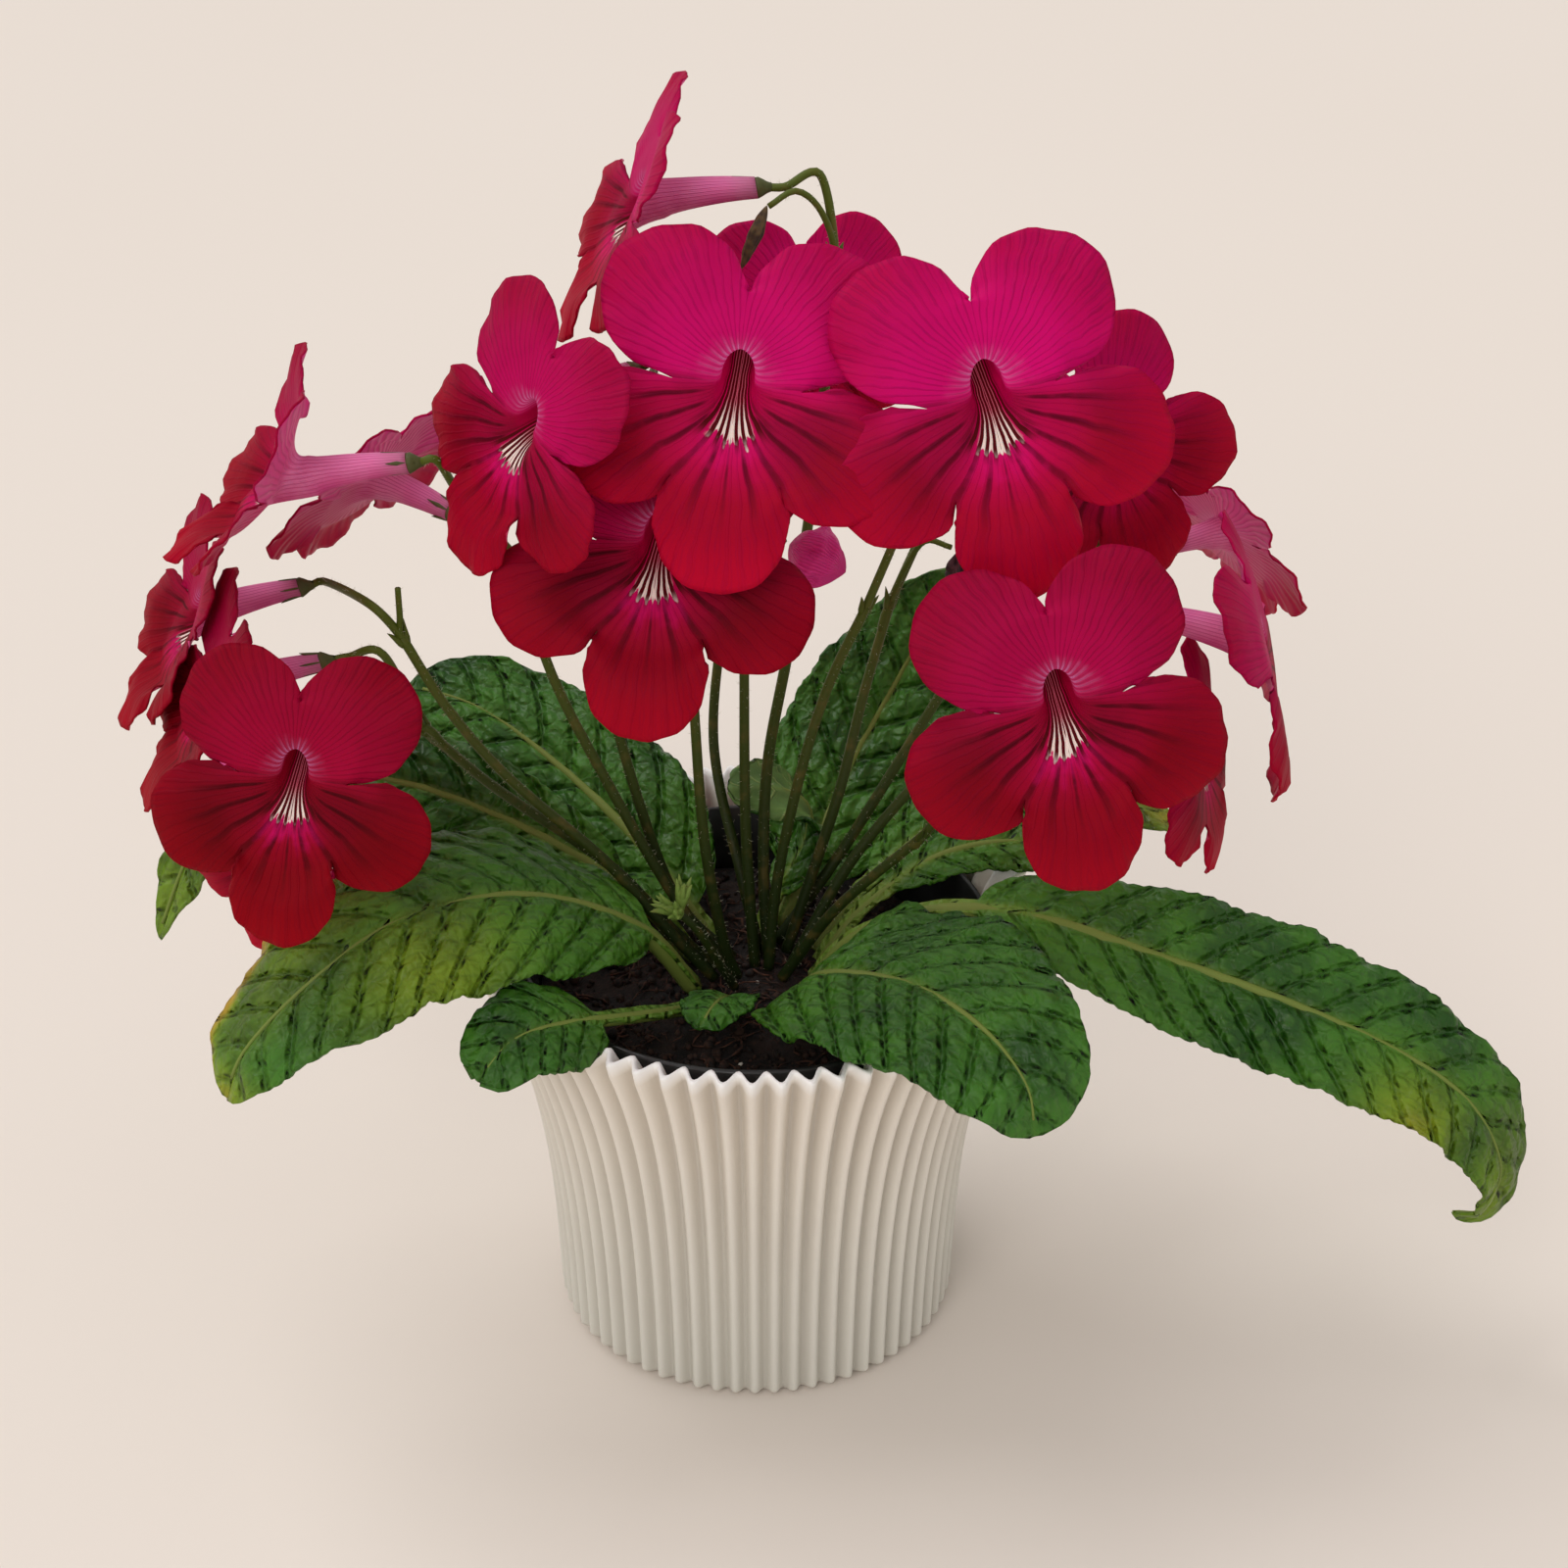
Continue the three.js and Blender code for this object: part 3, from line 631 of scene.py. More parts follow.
# ---- potting mix: lumpy surface, crumbs, fibres and perlite
soilTop = nodeBox("potting_mix")[1].z - 0.8 * mm


def soilHeight(x, y):
    spot = Vector((x, y, 0))
    lumps = noise.noise(spot * 130) * 1.3 + noise.noise(spot * 420) * 0.8 + noise.noise(spot * 60) * 1.2
    return soilTop + lumps * mm - 26 * (x * x + y * y) * 0.02


def buildSoil():
    low, high = nodeBox("potting_mix")
    radius = high.x
    profile = [(0, low.z), (radius - 12 * mm, low.z), (radius - 1 * mm, high.z - 6 * mm)]
    profile += [(radius * (1 - i / 60), high.z) for i in range(61)]

    def lump(spot):
        if spot.z > high.z - 0.1 * mm:
            spot.z = soilHeight(spot.x, spot.y)
        return spot

    bm = bmesh.new()
    addLathe(bm, profile, 200, lump)
    finishMesh("pottingMix", bm, [peatSoil], "potting_mix")

    random.seed(11)

    def somewhere(reach):
        around = random.random() * 2 * math.pi
        out = reach * math.sqrt(random.random())
        x, y = out * math.cos(around), out * math.sin(around)
        return Vector((x, y, soilHeight(x, y)))

    for name, count, small, large, material in (
            ("soilCrumbs", 900, 0.4, 1.5, bark), ("perliteGrains", 10, 0.4, 0.8, perlite)):
        bm = bmesh.new()
        bmesh.ops.create_icosphere(bm, subdivisions=1, radius=1)
        for made in addCopies(bm, count):
            size = random.uniform(small, large) * mm
            squeeze = Vector([random.uniform(0.5, 1.1) for _ in range(3)])
            turn = Matrix.Rotation(random.random() * 6.28, 3, Vector([random.random() for _ in range(3)]))
            spot = somewhere(radius - 3 * mm) + Vector((0, 0, size * 0.3))
            for vert in made:
                rough = 1 + 0.35 * noise.noise(vert.co * 1.7 + spot * 900)
                vert.co = spot + turn @ (vert.co * squeeze * rough * size)
        finishMesh(name, bm, [material], None)

    bm = bmesh.new()
    for _ in range(260):
        start = somewhere(radius - 6 * mm)
        length = random.uniform(3, 11) * mm
        heading = random.random() * 2 * math.pi
        step = Vector((math.cos(heading), math.sin(heading), 0)) * length
        bow = Vector((-step.y, step.x, 0)) * random.uniform(-0.3, 0.3)
        points = [start + step * t + bow * math.sin(math.pi * t)
                  + Vector((0, 0, (0.4 + 1.4 * math.sin(math.pi * t) * random.random()) * mm))
                  for t in (0, 0.25, 0.5, 0.75, 1)]
        thick = random.uniform(0.12, 0.32) * mm
        addRod(bm, points, [thick * 0.6, thick, thick, thick, thick * 0.4], sides=5)
    finishMesh("peatFibres", bm, [fibre], None)


# ---- leaves: midrib given in millimetres, the same as the CAD's; fade lists places
# (share along, across -1..1, spread along, spread across, amount) that turn yellow
leafSpecs = {
    "front_left": {
        "path": [(-12, -6, 86), (-22, -12, 104), (-38, -20, 118), (-55, -31, 127), (-75, -43, 128),
                 (-92, -52, 119), (-105, -58, 107), (-110, -60, 96)],
        "stalk": 0.16, "half": 20.5, "tilt": (25, 25, 10), "full": 0.45, "rib": 0.5, "hang": 0.25,
        "fade": [(0.85, 1.0, 0.25, 0.3, 1.0), (0.62, -0.7, 0.14, 0.7, 0.6), (0.8, 0.4, 0.2, 0.6, 0.4),
                 (1.0, 0, 0.05, 2, 0.8)],
    },
    "right_long": {
        "path": [(12, -3, 86), (22, -4, 98), (40, -7, 107), (62, -9, 106), (88, -12, 98),
                 (113, -16, 90), (139, -20, 79), (157, -24, 67), (166, -26, 50), (163, -27, 37),
                 (156, -27, 36)],
        "stalk": 0.22, "half": 17, "tilt": (-20, -36, -30), "full": 0.5, "hang": 0.1,
        "fade": [(0.76, 0.9, 0.07, 0.7, 0.75), (0.95, 0.2, 0.1, 1.5, 0.6)],
    },
    "front_right": {
        "path": [(7, -10, 86), (15, -25, 103), (32, -42, 112), (46, -59, 113), (55, -70, 106),
                 (57, -75, 96)],
        "stalk": 0.08, "half": 24, "tilt": (-18, -24, -20), "full": 0.42, "hang": 0.05, "fade": [],
    },
    "back_left": {
        "path": [(-9, 11, 86), (-18, 18, 97), (-29, 29, 105), (-45, 44, 113), (-63, 56, 121),
                 (-80, 62, 124)],
        "stalk": 0.1, "half": 20, "tilt": (35, 30, 20), "full": 0.5, "hang": 0.1, "fade": [],
    },
    "left_long": {
        "path": [(-13, 5, 86), (-26, 10, 99), (-50, 16, 113), (-78, 20, 123), (-103, 18, 125),
                 (-123, 13, 113), (-134, 8, 90)],
        "stalk": 0.15, "half": 13, "tilt": (40, 35, 10), "full": 0.6, "hang": 0.1,
        "fade": [(0.95, 0, 0.15, 2, 0.5)],
    },
    "back_right": {
        "path": [(6, 17, 86), (14, 31, 98), (22, 47, 110), (31, 58, 122), (40, 65, 137), (45, 67, 150)],
        "stalk": 0.12, "half": 19, "tilt": (-30, -22, -15), "full": 0.55, "hang": 0.05, "fade": [],
    },
    "middle": {
        "path": [(0, 15, 86), (6, 20, 96), (11, 25, 104), (11, 26, 112), (4, 22, 119), (-6, 17, 122)],
        "stalk": 0.2, "half": 11, "tilt": (0, 30, 45), "full": 0.5, "hang": 0.1, "fade": [],
    },
    "spoon": {
        "path": [(-8, -11, 86), (-17, -23, 92), (-29, -37, 100), (-41, -49, 107), (-50, -58, 109),
                 (-57, -65, 104)],
        "stalk": 0.55, "half": 11.5, "tilt": (15, 25, 25), "full": 0.36, "rib": 0.4, "hang": 0.15, "fade": [],
    },
    "tiny": {
        "path": [(-3, -13, 86), (-6, -21, 94), (-9, -30, 98), (-12, -37, 97)],
        "stalk": 0.2, "half": 7.5, "tilt": (0, 0, 0), "full": 0.36, "hang": 0.1, "fade": [],
    },
    "right_back": {
        "path": [(13, 8, 86), (27, 20, 98), (49, 35, 108), (71, 43, 107), (88, 45, 101), (100, 44, 94)],
        "stalk": 0.2, "half": 11, "tilt": (-20, -20, -20), "full": 0.6, "hang": 0.1,
        "fade": [(0.95, 0, 0.2, 2, 0.8)],
    },
    "right_droop": {
        "path": [(14, 3, 86), (24, 8, 97), (42, 15, 107), (62, 18, 108), (77, 20, 98), (83, 20, 84)],
        "stalk": 0.25, "half": 8, "tilt": (-25, -15, 0), "full": 0.6, "hang": 0.1,
        "fade": [(0.8, 0, 0.2, 2, 0.35)],
    },
}


def buildLeaf(name, spec):
    half = spec["half"]
    rows = max(40, round((spline(spec["path"], 40)[1]) / 1.15))
    points, length = spline(spec["path"], rows)
    first = tangents(points)[0].cross(Vector((0, 0, 1)))
    frames = sidesAlong(points, first)
    seed = sum(ord(letter) for letter in name)
    pitch = 9.5 if half > 12 else 6.5
    quilt = 1.0 if half > 12 else 0.5
    columns = 36 if half > 12 else 24
    bm = bmesh.new()
    layers = newLayers(bm, leafLayers)

    def blade(s):
        t = max(0.0, (s - spec["stalk"]) / (1 - spec["stalk"]))
        wide = half * math.sin(math.pi * min(t, 0.9995) ** 0.85) ** spec["full"] if t > 0 else 0
        return t, max(wide, 1.7 * (1 - t))

    def place(u, v):
        a = 2 * u - 1
        row = round(v * rows)
        s = row / rows
        t, wide = blade(s)
        side, lift = frames[row][:2]
        k = mix(*spec["tilt"][:2], 2 * s) if s < 0.5 else mix(*spec["tilt"][1:], 2 * s - 1)
        tilt = math.radians(k)
        across = side * math.cos(tilt) + lift * math.sin(tilt)
        normal = lift * math.cos(tilt) - side * math.sin(tilt)
        share = min(1.0, wide / half)
        d = s * length
        edge = abs(a) ** 6 * share
        x = a * (wide + edge * (0.55 * abs(math.sin(math.pi * d / 3.3)) - 0.3
                                + 1.1 * noise.noise(Vector((d * 0.07, seed, a)))))
        turn = (d - 0.75 * abs(x) - 0.018 * x * x + noise.noise(Vector((d * 0.05, seed, 3))) * 2) / pitch
        turn += 0.5 * ease(-1.0, 1.0, x)
        swell = abs(math.sin(math.pi * turn)) ** 0.7
        cross = abs(math.sin(math.pi * (abs(x) / 5.2 + 0.4 * noise.noise(Vector((d * 0.2, x * 0.2, seed))))))
        h = quilt * share * (0.95 * swell * min(1, abs(x) / 4) + 0.4 * cross * swell)
        h -= 0.9 * quilt * math.exp(-(x / 1.3) ** 2) * min(1, 4 * t)
        h -= spec["hang"] * share * wide * a * a
        h += share * a * a * (1.5 * math.sin(2 * math.pi * d / 27 + seed + 1.3 * a)
                              + 0.7 * math.sin(2 * math.pi * d / 11 + 2 * seed * a))
        h += 1.2 * share * noise.noise(Vector((d * 0.04, a * 0.8, seed * 0.37)))
        fade = 0.0
        for s0, a0, spreadS, spreadA, amount in spec["fade"]:
            fall = math.exp(-((s - s0) / spreadS) ** 2 - ((a - a0) / spreadA) ** 2)
            fade = max(fade, amount * fall)
        fresh = max(0.0, 1 - t / 0.4) * 0.7
        rib = math.exp(-(x / mix(1.2, 0.4, t)) ** 2) if t > 0 else 1.0
        spot = (points[row] + across * x + normal * h) * mm
        return spot, (turn, rib * mix(spec.get("rib", 0.85), 0.1, t), fade, fresh, x / 3.6)

    addSheet(bm, columns, rows, place, layers)
    if sheetPointsDown(bm, frames):
        bmesh.ops.reverse_faces(bm, faces=bm.faces)
    piece = placeMesh("leaf_" + name + "_blade", bm, [leafUpper, leafUnder], "leaf_" + name)
    addShell(piece, leafThickness)

    # the leaf stalk and the midrib standing out below the blade
    bm = bmesh.new()
    layers = newLayers(bm, leafLayers)
    spots = []
    sizes = []
    for row in range(0, rows - 2, 2):
        t, wide = blade(row / rows)
        radius = mix(2.1, 0.45, min(1, 1.25 * t)) * (1 if half > 12 else 0.65)
        sizes.append(radius * mm)
        k = spec["tilt"][0]
        normal = frames[row][1] * math.cos(math.radians(k)) - frames[row][0] * math.sin(math.radians(k))
        spots.append((points[row] - normal * (radius * 0.85 + 0.5 * min(1, 4 * t))) * mm)
    addRod(bm, spots, sizes, sides=10)
    for vert in bm.verts:
        vert[layers[1]] = 1.0
        vert[layers[0]] = 0.5
    finishMesh("leaf_" + name + "_rib", bm, [leafUnder], None)


def sheetPointsDown(bm, frames):
    bm.faces.ensure_lookup_table()
    bm.normal_update()
    middle = bm.faces[len(bm.faces) // 2]
    return middle.normal.dot(frames[len(frames) // 2][1]) < 0


# ---- flowers: local axes are right, up in the limb's plane and facing; millimetres at size 1
tubeSpec = {"length": 34, "tilt": math.radians(38), "bend": 0.0035, "neck": 7}
lobeSpecs = [
    # axis from straight down, distance of the lobe's middle, half width, half length,
    # outline start and end, throat ring start and end as (angle, radius), lift over neighbours
    {"axis": 0, "c": 28.5, "w": 13.3, "h": 13.5, "sweep": (-112, 112), "ring": ((-30, 22), (30, 22)),
     "over": 0.9, "upper": 0.0},
    {"axis": 60, "c": 25, "w": 14, "h": 13.5, "sweep": (-100, 128), "ring": ((30, 22), (90, 13)),
     "over": 0.0, "upper": 0.0},
    {"axis": 138, "c": 22, "w": 14.8, "h": 14.8, "sweep": (-128, 118), "ring": ((90, 13), (180, 19)),
     "over": -0.9, "upper": 1.0},
    {"axis": 222, "c": 22, "w": 14.8, "h": 14.8, "sweep": (-118, 128), "ring": ((180, 19), (270, 13)),
     "over": -0.5, "upper": 1.0},
    {"axis": 300, "c": 25, "w": 14, "h": 13.5, "sweep": (-128, 100), "ring": ((270, 13), (330, 22)),
     "over": 0.0, "upper": 0.0},
]
flowerKeys = ("turn", "lift", "roll", "size", "low", "high", "dark")
flowerSpecs = {
    "top": (-87, 26, 0, 0.79, 8, 10, 0.3),
    "centre_upper": (-2, 30, 6, 0.96, -2, -3, 0.1),
    "right_upper": (4, 28, -10, 0.97, -2, -2, 0.0),
    "left_upper": (-50, 20, 14, 0.8, -2, 2, 0.5),
    "centre_lower": (-4, 36, 3, 0.93, 0, 0, 0.7),
    "right_lower": (4, 26, -8, 0.9, -2, -2, 0.75),
    "left_lower": (-6, 22, 4, 0.8, 0, 0, 1.0),
    "far_left_high": (-92, 22, 0, 0.78, 45, 20, 0.6),
    "far_left_mid": (-80, 20, 0, 0.72, 22, 10, 0.8),
    "far_left_low": (-80, 20, 0, 0.72, 22, 5, 0.9),
    "back_left": (-130, 34, 0, 0.72, 10, 10, 0.4),
    "back_centre": (10, 20, 0, 0.72, 0, 0, 0.0),
    "back_right": (15, 20, -22, 0.78, 0, 0, 0.3),
    "far_right_high": (128, 26, 0, 0.64, 6, 6, 0.4),
    "far_right_mid": (86, 16, 0, 0.86, -6, -4, 0.4),
    "far_right_low": (72, 16, 0, 0.7, -6, 0, 0.4),
    "under_left": (-25, 5, 8, 0.66, 0, 0, 0.4),
}
flowerFrames = {}  # where each corolla was put, for the stalks


def flowerAxes(spec):
    turn, lift, roll = (math.radians(spec[k]) for k in ("turn", "lift", "roll"))
    facing = Vector((math.sin(turn) * math.cos(lift), -math.cos(turn) * math.cos(lift), math.sin(lift)))
    level = Vector((math.cos(turn), math.sin(turn), 0))
    above = facing.cross(level)
    right = level * math.cos(roll) - above * math.sin(roll)
    up = above * math.cos(roll) + level * math.sin(roll)
    return right, up, facing


def polar(angle, radius):
    return Vector((radius * math.sin(angle), -radius * math.cos(angle), 0))


def tubeCentre(t):
    return Vector((0, math.sin(tubeSpec["tilt"]) * t - tubeSpec["bend"] * t * t,
                   -math.cos(tubeSpec["tilt"]) * t))


def tubeRing(t, radius, angle):
    y = -math.cos(angle) * radius
    return tubeCentre(t) + Vector((math.sin(angle) * radius, y * math.cos(tubeSpec["tilt"]),
                                   y * math.sin(tubeSpec["tilt"])))


def buildCorolla(name, spec):
    seed = sum(ord(letter) * (i + 1) for i, letter in enumerate(name))
    random.seed(seed)
    perLobe = 32
    lobeBend = [random.uniform(-5, 5) for _ in lobeSpecs]
    lobeSize = [random.uniform(0.96, 1.05) for _ in lobeSpecs]
    ripple = [random.uniform(0, 6.28) for _ in lobeSpecs]
    tint = spec["dark"]
    bm = bmesh.new()
    layers = newLayers(bm, petalLayers)

    def shaped(index, u, v):
        # one point of a lobe: flat outline first, then relief, then the bend of the whole lobe
        lobe = lobeSpecs[index]
        k = (u + 1) / 2
        (a0, r0), (a1, r1) = lobe["ring"]
        start = polar(math.radians(mix(a0, a1, k)), mix(r0, r1, k))
        axis = math.radians(lobe["axis"])
        g = math.radians(mix(*lobe["sweep"], k))
        size = lobeSize[index] * (1 + 0.012 * math.sin(9 * u + ripple[index]) + 0.01 * math.sin(23 * u))
        along = lobe["c"] + lobe["h"] * math.cos(g) * size
        out = lobe["w"] * math.sin(g) * size
        end = Vector((along * math.sin(axis) + out * math.cos(axis),
                      -along * math.cos(axis) + out * math.sin(axis), 0))
        flat = start.lerp(end, v)
        radius = flat.length
        angle = math.atan2(flat.x, -flat.y)
        level = lobe["over"] * ease(0, 0.5, v) * 1.6
        level += 1.3 * math.sin(math.pi * v) * (1 - u * u) - 0.0045 * max(0, radius - 12) ** 2
        level += v ** 3 * (0.8 * math.sin(3.3 * math.pi * u + ripple[index])
                           + 0.35 * math.sin(8 * math.pi * u + 2 * ripple[index]))
        level += 0.5 * noise.noise(Vector((flat.x * 0.08, flat.y * 0.08, seed))) * v
        bend = math.radians(mix(spec["low"], spec["high"], (1 - math.cos(angle)) / 2)
                            + lobeBend[index] * ease(0, 0.6, v))
        mouth = 7.5
        r = radius - mouth
        radial = mouth + r * math.cos(bend) - level * math.sin(bend)
        spot = polar(angle, radial)
        spot.z = r * math.sin(bend) + level * math.cos(bend)
        fromTop = max(lobe["upper"], 0.6 * ease(math.radians(55), math.radians(105), abs(angle)))
        return spot, (radius, abs(angle) / math.pi, mix(smoothUpper(angle), fromTop, ease(0, 0.4, v)), tint)

    def smoothUpper(angle):
        return ease(math.radians(75), math.radians(108), abs(angle))

    for index in range(5):
        addSheet(bm, perLobe, 14, lambda u, v, index=index: shaped(index, 2 * u - 1, v), layers)

    def throat(u, v):
        # from the narrow end of the tube out through the mouth to the ring where the lobes begin
        column = u * 5
        index = min(int(column + 1e-6), 4)
        ring, values = shaped(index, 2 * (column - index) - 1, 0)
        flat = Vector((ring.x, ring.y, 0))
        angle = math.atan2(flat.x, -flat.y)
        roofness = (1 - math.cos(angle)) / 2
        neck = tubeRing(tubeSpec["neck"], 4.9, angle)
        neck.x *= 0.7
        if v <= 0.5:
            t = mix(tubeSpec["length"], tubeSpec["neck"], v * 2)
            back = (t - tubeSpec["neck"]) / (tubeSpec["length"] - tubeSpec["neck"])
            radius = 4.9 - 2.7 * back ** 0.55
            spot = tubeRing(t, radius, angle)
            spot.x *= mix(0.7, 1, ease(0, 0.5, back))
            return spot, (tubeSpec["neck"] - t, abs(angle) / math.pi, smoothUpper(angle), tint)
        w = (v - 0.5) * 2
        outward = Vector((0, -math.sin(tubeSpec["tilt"]), math.cos(tubeSpec["tilt"])))
        first = neck + outward * mix(9.5, 3.0, roofness)
        second = ring - flat.normalized() * mix(9, 10.5, roofness)
        second.x *= 0.55
        spot = (neck * (1 - w) ** 3 + first * 3 * w * (1 - w) ** 2 + second * 3 * w * w * (1 - w)
                + ring * w ** 3)
        return spot, (values[0] * w, abs(angle) / math.pi, smoothUpper(angle), tint)

    addSheet(bm, perLobe * 5, 26, throat, layers)
    bmesh.ops.remove_doubles(bm, verts=bm.verts, dist=0.002)

    # face the right way: the lobes' faces look along local z
    bm.normal_update()
    seen = sum(face.normal.z for face in bm.faces if face.calc_center_median().length > 20)
    if seen < 0:
        bmesh.ops.reverse_faces(bm, faces=bm.faces)

    right, up, facing = flowerAxes(spec)
    turn = Matrix((right, up, facing)).transposed() * (spec["size"] * mm)
    for vert in bm.verts:
        vert.co = turn @ vert.co
    low, high = nodeBox("corolla_" + name)
    mine = [[vert.co[i] for vert in bm.verts] for i in range(3)]
    centre = Vector([(min(c) + max(c)) / 2 for c in mine])
    shift = (low + high) / 2 - centre
    bmesh.ops.translate(bm, verts=bm.verts, vec=shift)
    flowerFrames[name] = (turn, shift)
    piece = placeMesh("corolla_" + name + "_petals", bm, [petalFace, petalReverse],
                      "corolla_" + name)
    addShell(piece, petalThickness)


# ---- stalks: routes given in millimetres, the same as the CAD's
stalkSpecs = {
    "left_high": {
        "path": [(-6, 2, 85), (-18, 3, 104), (-32, 4, 133), (-43, 4, 160), (-49, 2, 188)],
        "ends": {"far_left_high": [(-59, 1, 202)], "back_left": [(-50, 9, 184)]},
    },
    "left_upper": {
        "path": [(-5, 6, 85), (-18, 9, 100), (-29, 11, 139), (-36, 13, 178)],
        "ends": {"left_upper": [(-34, 14, 205), (-22, 14, 222)]},
    },
    "centre_lower": {
        "path": [(-4, -1.5, 85), (-7, -2, 95), (-11, -1, 122), (-13, 1, 160)],
        "ends": {"centre_lower": [(-15, 2, 198)]},
    },
    "centre_upper": {
        "path": [(0, 3, 85), (-1, 5, 100), (-2, 8, 123), (-2, 12, 160)],
        "ends": {"centre_upper": [(-2, 16, 205)]},
    },
    "back_centre": {
        "path": [(1, 9, 85), (-3, 14, 102), (-9, 30, 127), (-6, 40, 160)],
        "ends": {"back_centre": [(6, 56, 205)]},
    },
    "top": {
        "path": [(3, 5.5, 85), (2, 10, 105), (3, 16, 130), (8, 19, 160), (14, 19, 207), (17, 21, 248)],
        "ends": {"top": [(14, 24, 264)]},
    },
    "right_upper": {
        "path": [(3, 1.8, 85), (5, 4, 107), (10, 6, 133), (16, 8, 154), (24, 9, 173)],
        "ends": {"right_upper": [(36, 10, 208)]},
    },
    "back_right": {
        "path": [(7, 8.5, 85), (13, 12, 104), (19, 15, 124), (24, 21, 144), (30, 29, 163)],
        "ends": {"back_right": [(45, 46, 188)]},
    },
    "right_lower": {
        "path": [(6, -2, 85), (18, -7, 107), (36, -14, 130)],
        "ends": {"right_lower": [(52, -24, 165)]},
    },
    "right_mid": {
        "path": [(8, 3, 85), (22, 7, 111), (41, 9, 136), (54, 7, 152)],
        "ends": {"far_right_mid": [(66, 3, 173)], "far_right_low": [(62, 1, 154)]},
    },
    "right_high": {
        "path": [(5, 12.5, 85), (20, 17, 107), (37, 22, 136), (52, 26, 162)],
        "ends": {"far_right_high": [(66, 28, 178)]},
    },
    "left_mid": {
        "path": [(-9, -2, 85), (-19, -2.5, 98), (-32, -4, 117), (-52, -8, 141), (-64, -8, 158),
                 (-73, -7, 175)],
        "ends": {"far_left_mid": [(-79, -6, 182)]},
    },
    "left_low": {
        "path": [(-9, 2, 85), (-19, 2.5, 96), (-32, 3, 112), (-56, 0, 134), (-70, -5, 152)],
        "ends": {"far_left_low": [(-76, -16, 176)], "left_lower": [(-79, -11, 160)],
                 "under_left": [(-79, 4, 143)]},
    },
}
footSpecs = {
    "centre_upper": [[(2, 5, 184), (4, -1, 195), (6.5, -4.5, 195.5)]],
    "top": [[(14, 20, 258), (9, 18, 263), (3.5, 16, 260.5)]],
    "back_right": [[(33, 28, 172), (37, 26, 179.5), (42.5, 23, 179.5)]],
    "left_mid": [[(-73, -7.5, 180), (-73, -8, 187)]],
}


def addHairs(bm, points, radius, count, length, material):
    # short stiff down standing off a rod
    last = len(points) - 1
    for _ in range(count):
        k = random.random() * (last - 0.01)
        i = int(k)
        spot = points[i].lerp(points[i + 1], k - i)
        along = (points[i + 1] - points[i]).normalized()
        out = along.cross(Vector([random.uniform(-1, 1) for _ in range(3)])).normalized()
        tip = spot + (out + along * random.uniform(-0.2, 0.4)) * (radius + length * random.uniform(0.5, 1.1))
        made = bmesh.ops.create_cone(bm, cap_ends=True, segments=3, radius1=0.045 * mm, radius2=0.012 * mm,
                                     depth=1)["verts"]
        start = spot + out * radius * 0.9
        turn = (tip - start).to_track_quat("Z", "Y").to_matrix()
        faces = set()
        for vert in made:
            local = Vector((vert.co.x, vert.co.y, (vert.co.z + 0.5) * (tip - start).length))
            vert.co = start + turn @ local
            faces.update(vert.link_faces)
        for face in faces:
            face.material_index = material


def addSepals(bm, base, axis, radius, length, count=5, material=1, flare=0.25):
    # narrow pointed sepals round a base, lying along the axis
    level = axis.orthogonal().normalized()
    for i in range(count):
        turn = Matrix.Rotation(2 * math.pi * i / count + random.uniform(-0.15, 0.15), 3, axis)
        out = turn @ level
        reach = length * random.uniform(0.85, 1.15)
        lean = flare * random.uniform(0.3, 1.6)
        points = [base + out * radius * (0.55 + 0.5 * t + lean * t * t) + axis * reach * t
                  for t in (0, 0.2, 0.4, 0.6, 0.8, 1)]
        sizes = [w * mm for w in (0.5, 0.75, 0.7, 0.55, 0.35, 0.06)]
        addRod(bm, points, sizes, sides=6, up=out, material=material)


def buildStalk(name, spec):
    random.seed(len(name) * 7 + ord(name[0]))
    bm = bmesh.new()
    points, length = spline(spec["path"], 48)
    points = [p * mm for p in points]
    sizes = [mix(1.3, 1.05, i / 48) * mm for i in range(49)]
    addRod(bm, points, sizes, sides=10)
    addHairs(bm, points, 1.1 * mm, round(length * 1.6), 0.9 * mm, 2)
    joint = points[-1]
    before = points[-5]
    for flower, via in spec["ends"].items():
        turn, shift = flowerFrames[flower]
        end = turn @ tubeCentre(tubeSpec["length"]) + shift
        inward = (turn @ tubeCentre(tubeSpec["length"] - 6) + shift - end).normalized()
        route = [before, joint] + [Vector(p) * mm for p in via]
        route += [end - inward * 6 * mm, end - inward * 2.5 * mm]
        branch, reach = spline(route, 40)
        addRod(bm, branch, [mix(1.0, 0.85, i / 40) * mm for i in range(41)], sides=9)
        addHairs(bm, branch, 0.9 * mm, round(reach / mm * 1.4), 0.8 * mm, 2)
        cup = [end - inward * d * mm for d in (3.2, 2.2, 1.2, 0.4, -0.3)]
        addRod(bm, cup, [w * mm for w in (0.85, 1.2, 1.8, 2.2, 2.0)], sides=12, material=1)
        addSepals(bm, end - inward * 1.6 * mm, inward, 2.0 * mm, 6.0 * mm)
    for foot in footSpecs.get(name, []):
        branch, reach = spline([before, joint] + [Vector(p) * mm for p in foot], 24)
        addRod(bm, branch, [mix(0.8, 0.65, i / 24) * mm for i in range(25)], sides=8)
        addHairs(bm, branch, 0.7 * mm, 40, 0.6 * mm, 2)
    # the pair of small bracts where the stalk forks
    away = (joint - before).normalized()
    addSepals(bm, joint - away * 2 * mm, away, 1.4 * mm, 5 * mm, count=2, material=0, flare=0.9)
    finishMesh("stalk_" + name + "_stem", bm, [stalkGreen, sepalGreen, down],
               "stalk_" + name)


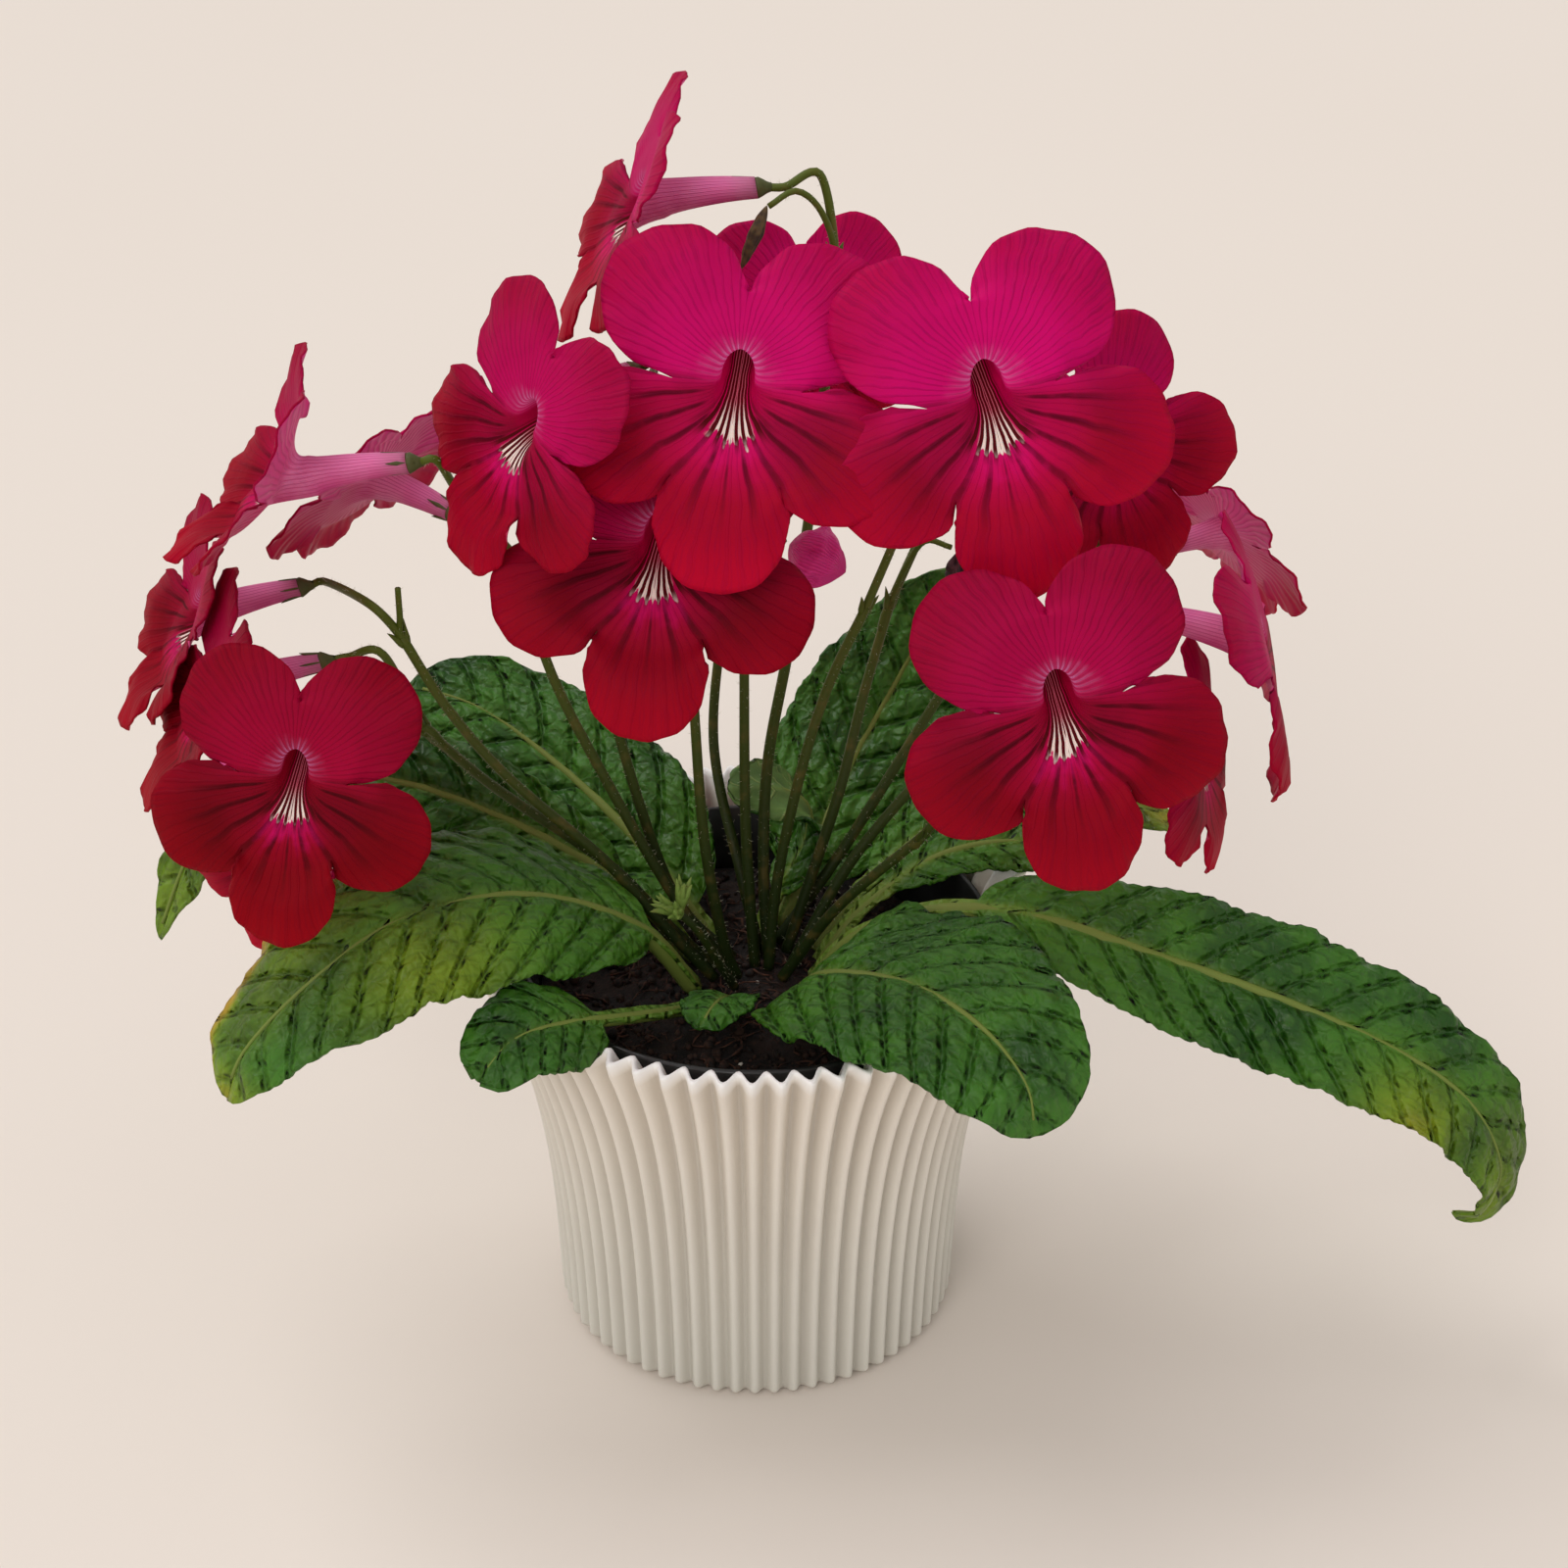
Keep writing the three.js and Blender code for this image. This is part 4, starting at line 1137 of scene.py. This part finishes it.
# ---- buds
def buildBud(name, materials, replaced, folds, depth, twist, wrinkle, bulge):
    # a closed bud between its listed ends, standing in for its CAD node: pointed egg with folds running along
    # it
    start, tip = (Vector(p) * mm for p in budEnds[replaced])
    axis = (tip - start).normalized()
    length = (tip - start).length
    level = axis.orthogonal().normalized()
    other = axis.cross(level)
    bm = bmesh.new()
    layers = newLayers(bm, petalLayers)

    def place(u, t):
        around = u * 2 * math.pi
        radius = bulge * math.sin(math.pi * min(t, 1.0) ** 0.9) ** 0.75
        fold = 1 + depth * math.cos(folds * around + twist * t) * math.sin(math.pi * t)
        rough = 1 + wrinkle * noise.noise(Vector((math.cos(around) * 2, math.sin(around) * 2, t * 6)))
        out = level * math.cos(around) + other * math.sin(around)
        spot = start + axis * length * t + out * (radius * fold * rough * mm)
        return spot, (mix(30, 36, t), abs(u - 0.5) * 2, 1.0, 0.5)

    addSheet(bm, 60, 40, place, layers, weld=True)
    finishMesh(name, bm, materials, replaced)


budEnds = {
    "bud_pink": [(7.5, -5, 195.2), (19, -8.5, 190.5)],
    "bud_hanging": [(3.2, 16, 260.8), (-2.2, 13.2, 248)],
    "spent_flower": [(43.4, 22.6, 178.2), (47, 20.5, 164)],
}
youngSpec = {
    "path": [(-4.5, -5.5, 85), (-8, -12, 96), (-12, -16.5, 107), (-16, -18, 113)],
    "tips": [(-20, -19, 116), (-17, -22, 116), (-15, -17, 120), (-19.5, -15, 113)],
}


def buildYoungBuds():
    random.seed(5)
    bm = bmesh.new()
    points = [p * mm for p in spline(youngSpec["path"], 30)[0]]
    addRod(bm, points, [mix(1.05, 0.8, i / 30) * mm for i in range(31)], sides=9)
    addHairs(bm, points, 0.9 * mm, 90, 0.8 * mm, 2)
    for tip in youngSpec["tips"]:
        end = Vector(tip) * mm
        start = points[-1]
        spots = [start.lerp(end, t) for t in (0, 0.25, 0.5, 0.7, 0.85, 1)]
        addRod(bm, spots, [w * mm for w in (0.6, 0.9, 1.5, 1.5, 0.9, 0.1)], sides=8, material=1)
        addSepals(bm, spots[2], (end - start).normalized(), 1.4 * mm, 4.5 * mm, material=1, flare=0.5)
    finishMesh("stalk_young_buds_stem", bm, [stalkGreen, freshGreen, down],
               "stalk_young_buds")


budBrown = grain("bud_sepal", "#2e2413", "#5a4a26", 0.7)
freshGreen = stalkSkin("fresh_green", "#6f8a3c", "#8ba555")
spentSkin = grain("spent_petal", "#1d0d10", "#4d2129", 0.7)
buildCoverPot()
buildNurseryPot()
buildSoil()
print("pots and soil built")
for leafName, leafSpec in leafSpecs.items():
    buildLeaf(leafName, leafSpec)
print("leaves built")
for flowerName, flowerSpec in flowerSpecs.items():
    buildCorolla(flowerName, dict(zip(flowerKeys, flowerSpec)))
print("corollas built")
for stalkName, stalkSpec in stalkSpecs.items():
    buildStalk(stalkName, stalkSpec)
buildYoungBuds()
buildBud("budPink", [petalReverse], "bud_pink", 5, 0.12, 2.4, 0.2, 6.3)
buildBud("budHanging", [budBrown], "bud_hanging", 5, 0.12, 0.5, 0.2, 1.35)
buildBud("spentFlower", [spentSkin], "spent_flower", 3, 0.35, 5.0, 0.9, 3.2)
print("stalks and buds built")


# ---- stage: pale sweep, soft window light from the upper left, weak fill
def addObject(name, data):
    made = bpy.data.objects.new(name, data)
    bpy.context.scene.collection.objects.link(made)
    return made


def addLight(name, place, aim, size, power, colour):
    data = bpy.data.lights.new(name, "AREA")
    data.shape = "DISK"
    data.size = size
    data.energy = power
    data.color = srgb(colour)[:3]
    lamp = addObject(name, data)
    lamp.location = place
    lamp.rotation_euler = (Vector(aim) - Vector(place)).to_track_quat("-Z", "Y").to_euler()


floorMesh = bpy.data.meshes.new("studioFloor")
bm = bmesh.new()
bmesh.ops.create_grid(bm, x_segments=1, y_segments=1, size=8)
bm.to_mesh(floorMesh)
bm.free()
floorMesh.materials.append(wallPaper())
floor = addObject("studioFloor", floorMesh)

sun = bpy.data.lights.new("window", "SUN")
sun.angle = math.radians(38)
sun.energy = 1.15
sunLamp = addObject("window", sun)
sunLamp.rotation_euler = Vector((1.6, -1.0, -3.2)).to_track_quat("-Z", "Y").to_euler()
addLight("front", (-1.4, -3.6, 3.2), (0, 0, 0.15), 2.4, 48, "#fffaf6")
world = bpy.data.worlds.new("studio")
world.use_nodes = True
world.node_tree.nodes["Background"].inputs["Color"].default_value = srgb("#f4f1ee")
world.node_tree.nodes["Background"].inputs["Strength"].default_value = 0.68
bpy.context.scene.world = world
bpy.context.scene.view_settings.view_transform = "Standard"

cameraData = bpy.data.cameras.new("camera")
cameraData.lens = 81
cameraData.sensor_width = 36
cameraData.clip_end = 30
camera = addObject("camera", cameraData)
cameraRadius = 0.778
cameraRise = math.radians(33.8)
cameraAim = 0.1007
cameraPitch = math.radians(90 - 31.69)
cameraYaw = math.radians(-0.57)
camera.location = (0, -cameraRadius * math.cos(cameraRise), cameraRadius * math.sin(cameraRise) + cameraAim)
camera.rotation_euler = (cameraPitch, 0, cameraYaw)
bpy.context.scene.camera = camera

print("stage ready")
